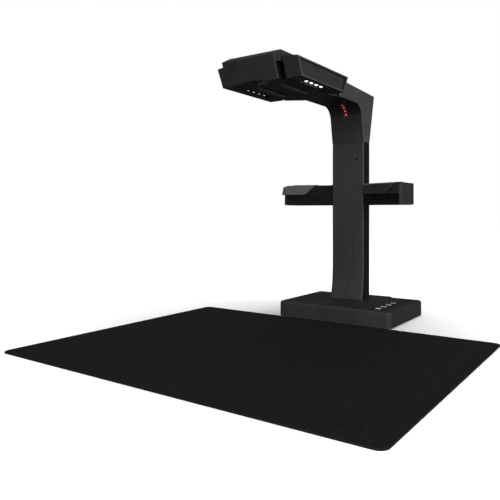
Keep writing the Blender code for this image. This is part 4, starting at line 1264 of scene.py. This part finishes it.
def make_left_wing():
    """Bar, hood on the outer part, and an end panel with the same outline. Modelled on the right."""
    wing = make_bar("wing_shape")
    start = ROOT_X + HOOD_START
    hood = swept_block("hood", start, HOOD_TIP, HOOD_LOW, BAR_TOP, 0.0, 0.0750)
    slice_line(hood, (start + HOOD_SLANT, HOOD_LOW), (start, BAR_TOP), "y", (-1, 0, 0))
    slice_rear(hood, HOOD_DEEP + 0.004)
    lean_front(hood, 0.0, HOOD_LEAN, -1)
    slice_line(hood, (HOOD_TIP - 0.018, BAR_TOP), (HOOD_TIP, BAR_TOP - 0.003), "y", (0, 0, 1))
    round_edges(hood, 0.0010, 3, 20)
    combine(wing, hood, "UNION")
    top = BAR_TOP - 0.0035
    end = block("end", (BAR_HALF - 0.0040, TIP_Y, BAR_LOW + 0.0007), (BAR_HALF, BAR_BACK - 0.003, top))
    slice_line(end, (TIP_Y + 0.0005, HOOD_LOW), (TIP_Y + HOOD_LEAN, top), "x", (0, -1, 1))
    combine(end, block("step", (0.08, 0.0, BAR_LOW - 0.01), (0.13, TIP_Y + HOOD_DEEP - 0.001, HOOD_LOW)))
    bevel_edges(end, lambda a, b: min(a.x, b.x) > BAR_HALF - 0.0001 and (a - b).length > 0.006, 0.0005, 3)
    combine(wing, end, "UNION")
    cut_lamp_slot(wing)
    left = mirror_piece(wing, "wing_left")
    bpy.data.objects.remove(wing, do_unlink=True)
    return left


# %% Right wing
SLANT_LOW, SLANT_TOP = 0.0790, 0.1015
RIGHT_LEAN, STEP_DEEP = 0.0025, 0.0040


def slant_x(height):
    """Where the hood's slanted end is at this height."""
    return SLANT_LOW + (SLANT_TOP - SLANT_LOW) * (height - HOOD_LOW) / HOOD_H


def on_slant_edge(a, b):
    """Whether an edge is the front edge of the hood's slanted end."""
    ends = [abs(p.x - slant_x(p.z)) < 0.0003 and p.y < front_at(p.x, RIGHT_LEAN)[1] + 0.0008 for p in (a, b)]
    return all(ends) and abs(a.z - b.z) > 0.008


def make_right_wing():
    """Bar, hood on the inner part with a slanted end, a lower outer part and a flat end panel."""
    wing = make_bar("wing_right")
    hood = swept_block("hood", LIP_X, HOOD_TIP, HOOD_LOW, BAR_TOP, -0.001, 0.0750)
    slice_rear(hood, HOOD_DEEP + 0.002)
    lean_front(hood, 0.0, RIGHT_LEAN, -1)
    step = block("step", (0.05, -0.02, HOOD_LOW - 0.01), (0.13, 0.09, BAR_TOP + 0.01))
    lean_front(step, STEP_DEEP, RIGHT_LEAN, 1)
    slice_line(step, (slant_x(HOOD_LOW), HOOD_LOW), (slant_x(BAR_TOP), BAR_TOP), "y", (-1, 0, 0))
    bevel_edges(hood, lambda a, b: above(BAR_TOP - 0.0001)(a, b) and abs(a.x - b.x) > 0.03
                and max(a.y, b.y) < 0.0600, 0.0018, 2)
    combine(hood, step)
    bevel_edges(hood, on_slant_edge, 0.0012, 1)
    combine(hood, clip_room())
    round_edges(hood, 0.0008, 3, 20)
    combine(wing, hood, "UNION")
    end = block("end", (BAR_HALF - 0.0040, TIP_Y + 0.0028, BAR_LOW + 0.0004),
                (BAR_HALF, BAR_BACK - 0.003, BAR_TOP - 0.0008))
    inset_faces(end, lambda c, n: n.x > 0.9999, 0.0012, -0.0004)
    round_edges(end, 0.0006, 3, 30)
    combine(wing, end, "UNION")
    cut_lamp_slot(wing)
    return wing


def make_grip_ribs():
    """Slanted ribs on the right hood, beside its end."""
    ribs, low, high = [], HOOD_LOW + 0.0045, BAR_TOP - 0.0030
    for i in range(5):
        shift = -0.0024 - 0.0019 * i
        rib = block("rib", (0.05, -0.01, low), (0.12, 0.08, high))
        for edge, side in ((shift, -1), (shift + 0.0009, 1)):
            slice_line(rib, (slant_x(low) + edge, low), (slant_x(high) + edge, high), "y", (side, 0, 0))
        lean_front(rib, -0.0009, RIGHT_LEAN, -1)
        lean_front(rib, 0.0030, RIGHT_LEAN, 1)
        ribs.append(rib)
    return put_together("grip_ribs", ribs)


def make_lamp_strip():
    """The smoked strip that closes the lamp slot."""
    strip = swept_block("lamp_strip_right", ROOT_X + 0.0104, BAR_HALF - 0.0104, BAR_LOW + 0.0084,
                        BAR_TOP - 0.0194, HOOD_DEEP + 0.0003, 0.0750)
    slice_rear(strip, HOOD_DEEP + 0.0030)
    round_edges(strip, 0.0003, 2, 40)
    return strip


def catches_light(centre, normal):
    """Whether a face is the hood's slanted end or its upper edge, which get a painted highlight."""
    slanted = normal.x > 0.25 and normal.z < -0.2 and centre.z > HOOD_LOW + 0.001 and 0.07 < centre.x < 0.104
    return slanted or (normal.y < -0.15 and normal.z > 0.25 and centre.z > BAR_TOP - 0.003)


def is_set_back(centre, normal):
    """Whether a face is the wing's set-back front below or beside the hood, which gets painted shade."""
    return normal.y < -0.5 and centre.y - FRONT_Y > front_at(abs(centre.x))[1] + 0.009


def is_left_hood(centre, normal):
    """Whether a face is the leaning front of the left hood, which gets a painted highlight."""
    return centre.x < 0 and normal.y < -0.5 and normal.z > 0.1 and centre.z > HOOD_LOW


# Each wing gets painted shade on its set-back front, and a painted highlight on the left hood's front, the
# hood's slanted end and its upper edge.
for wing, node in ((make_right_wing(), "wing_housing_right"), (make_left_wing(), "wing_housing_left")):
    finish_piece(wing, CASE, "side_light", [node])
    paint_sides(wing, PAINTED_SHADE, is_set_back)
    paint_sides(wing, PAINTED_HIGHLIGHT, is_left_hood)
    paint_sides(wing, PAINTED_HIGHLIGHT_LINE, catches_light)

# The grip ribs get the paler finish: a painted highlight on their strokes.
finish_piece(make_grip_ribs(), PAINTED_HIGHLIGHT, "side_light")
right_strip = make_lamp_strip()
left_strip = mirror_piece(right_strip, "lamp_strip_left")
finish_piece(right_strip, SMOKED, "side_light", ["wing_diffuser_right"])
finish_piece(left_strip, SMOKED, "side_light", ["wing_diffuser_left"])

# %% [markdown]
# ## The work mat
# The mat is a sheet of grained synthetic leather, cut with round corners and lying flat. A thin block
# is enough for it: its corners are rounded, its upper rim is softened, and the grain comes from the
# finish.

# %% Mat
mat_low, mat_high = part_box("work_mat")


def make_mat():
    """The laid sheet with rounded corners and softened edges."""
    sheet = round_block("mat_sheet", (mat_low.x, mat_low.y - FRONT_Y, mat_low.z),
                        (mat_high.x, mat_high.y - FRONT_Y, mat_high.z), 0.010, 12)
    bevel_edges(sheet, above(mat_high.z - 0.0001), 0.0007, 3)
    return sheet


mat = finish_piece(make_mat(), MAT_SKIN, "work_mat_body", ["work_mat"])

# %% [markdown]
# ## Finishes on the measured parts
# The simple parts keep their measured solids, because their shapes are right: the bottom plate, feet,
# screws, sockets, boards and the steel inside. They only swap their plain colour for a finish.

# %% Paint the measured parts
PAINT = {
    TRIM_AND_GAP_SHADE: ("base_bottom_plate", "laser_module"),
    STEEL: ("base_screw", "power_inlet", "usb_socket", "video_socket"),
    RUBBER: ("foot",),
    IRON: ("ballast_plate", "column_upright"),
    BOARD: ("camera_module", "head_board", "key_board", "main_board", "led_board"),
    LED_BOARD: ("wing_led_strip",),
}
painted = 0
for name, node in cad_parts.items():
    for finish, starts in PAINT.items():
        if name.startswith(starts):
            for place in node.material_slots:
                place.material = finish
            painted += 1
print("painted parts:", painted, "of", len(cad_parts))

# %% [markdown]
# ## Last step
# The view layer is updated once more.

# %% Update the view layer
bpy.context.view_layer.update()
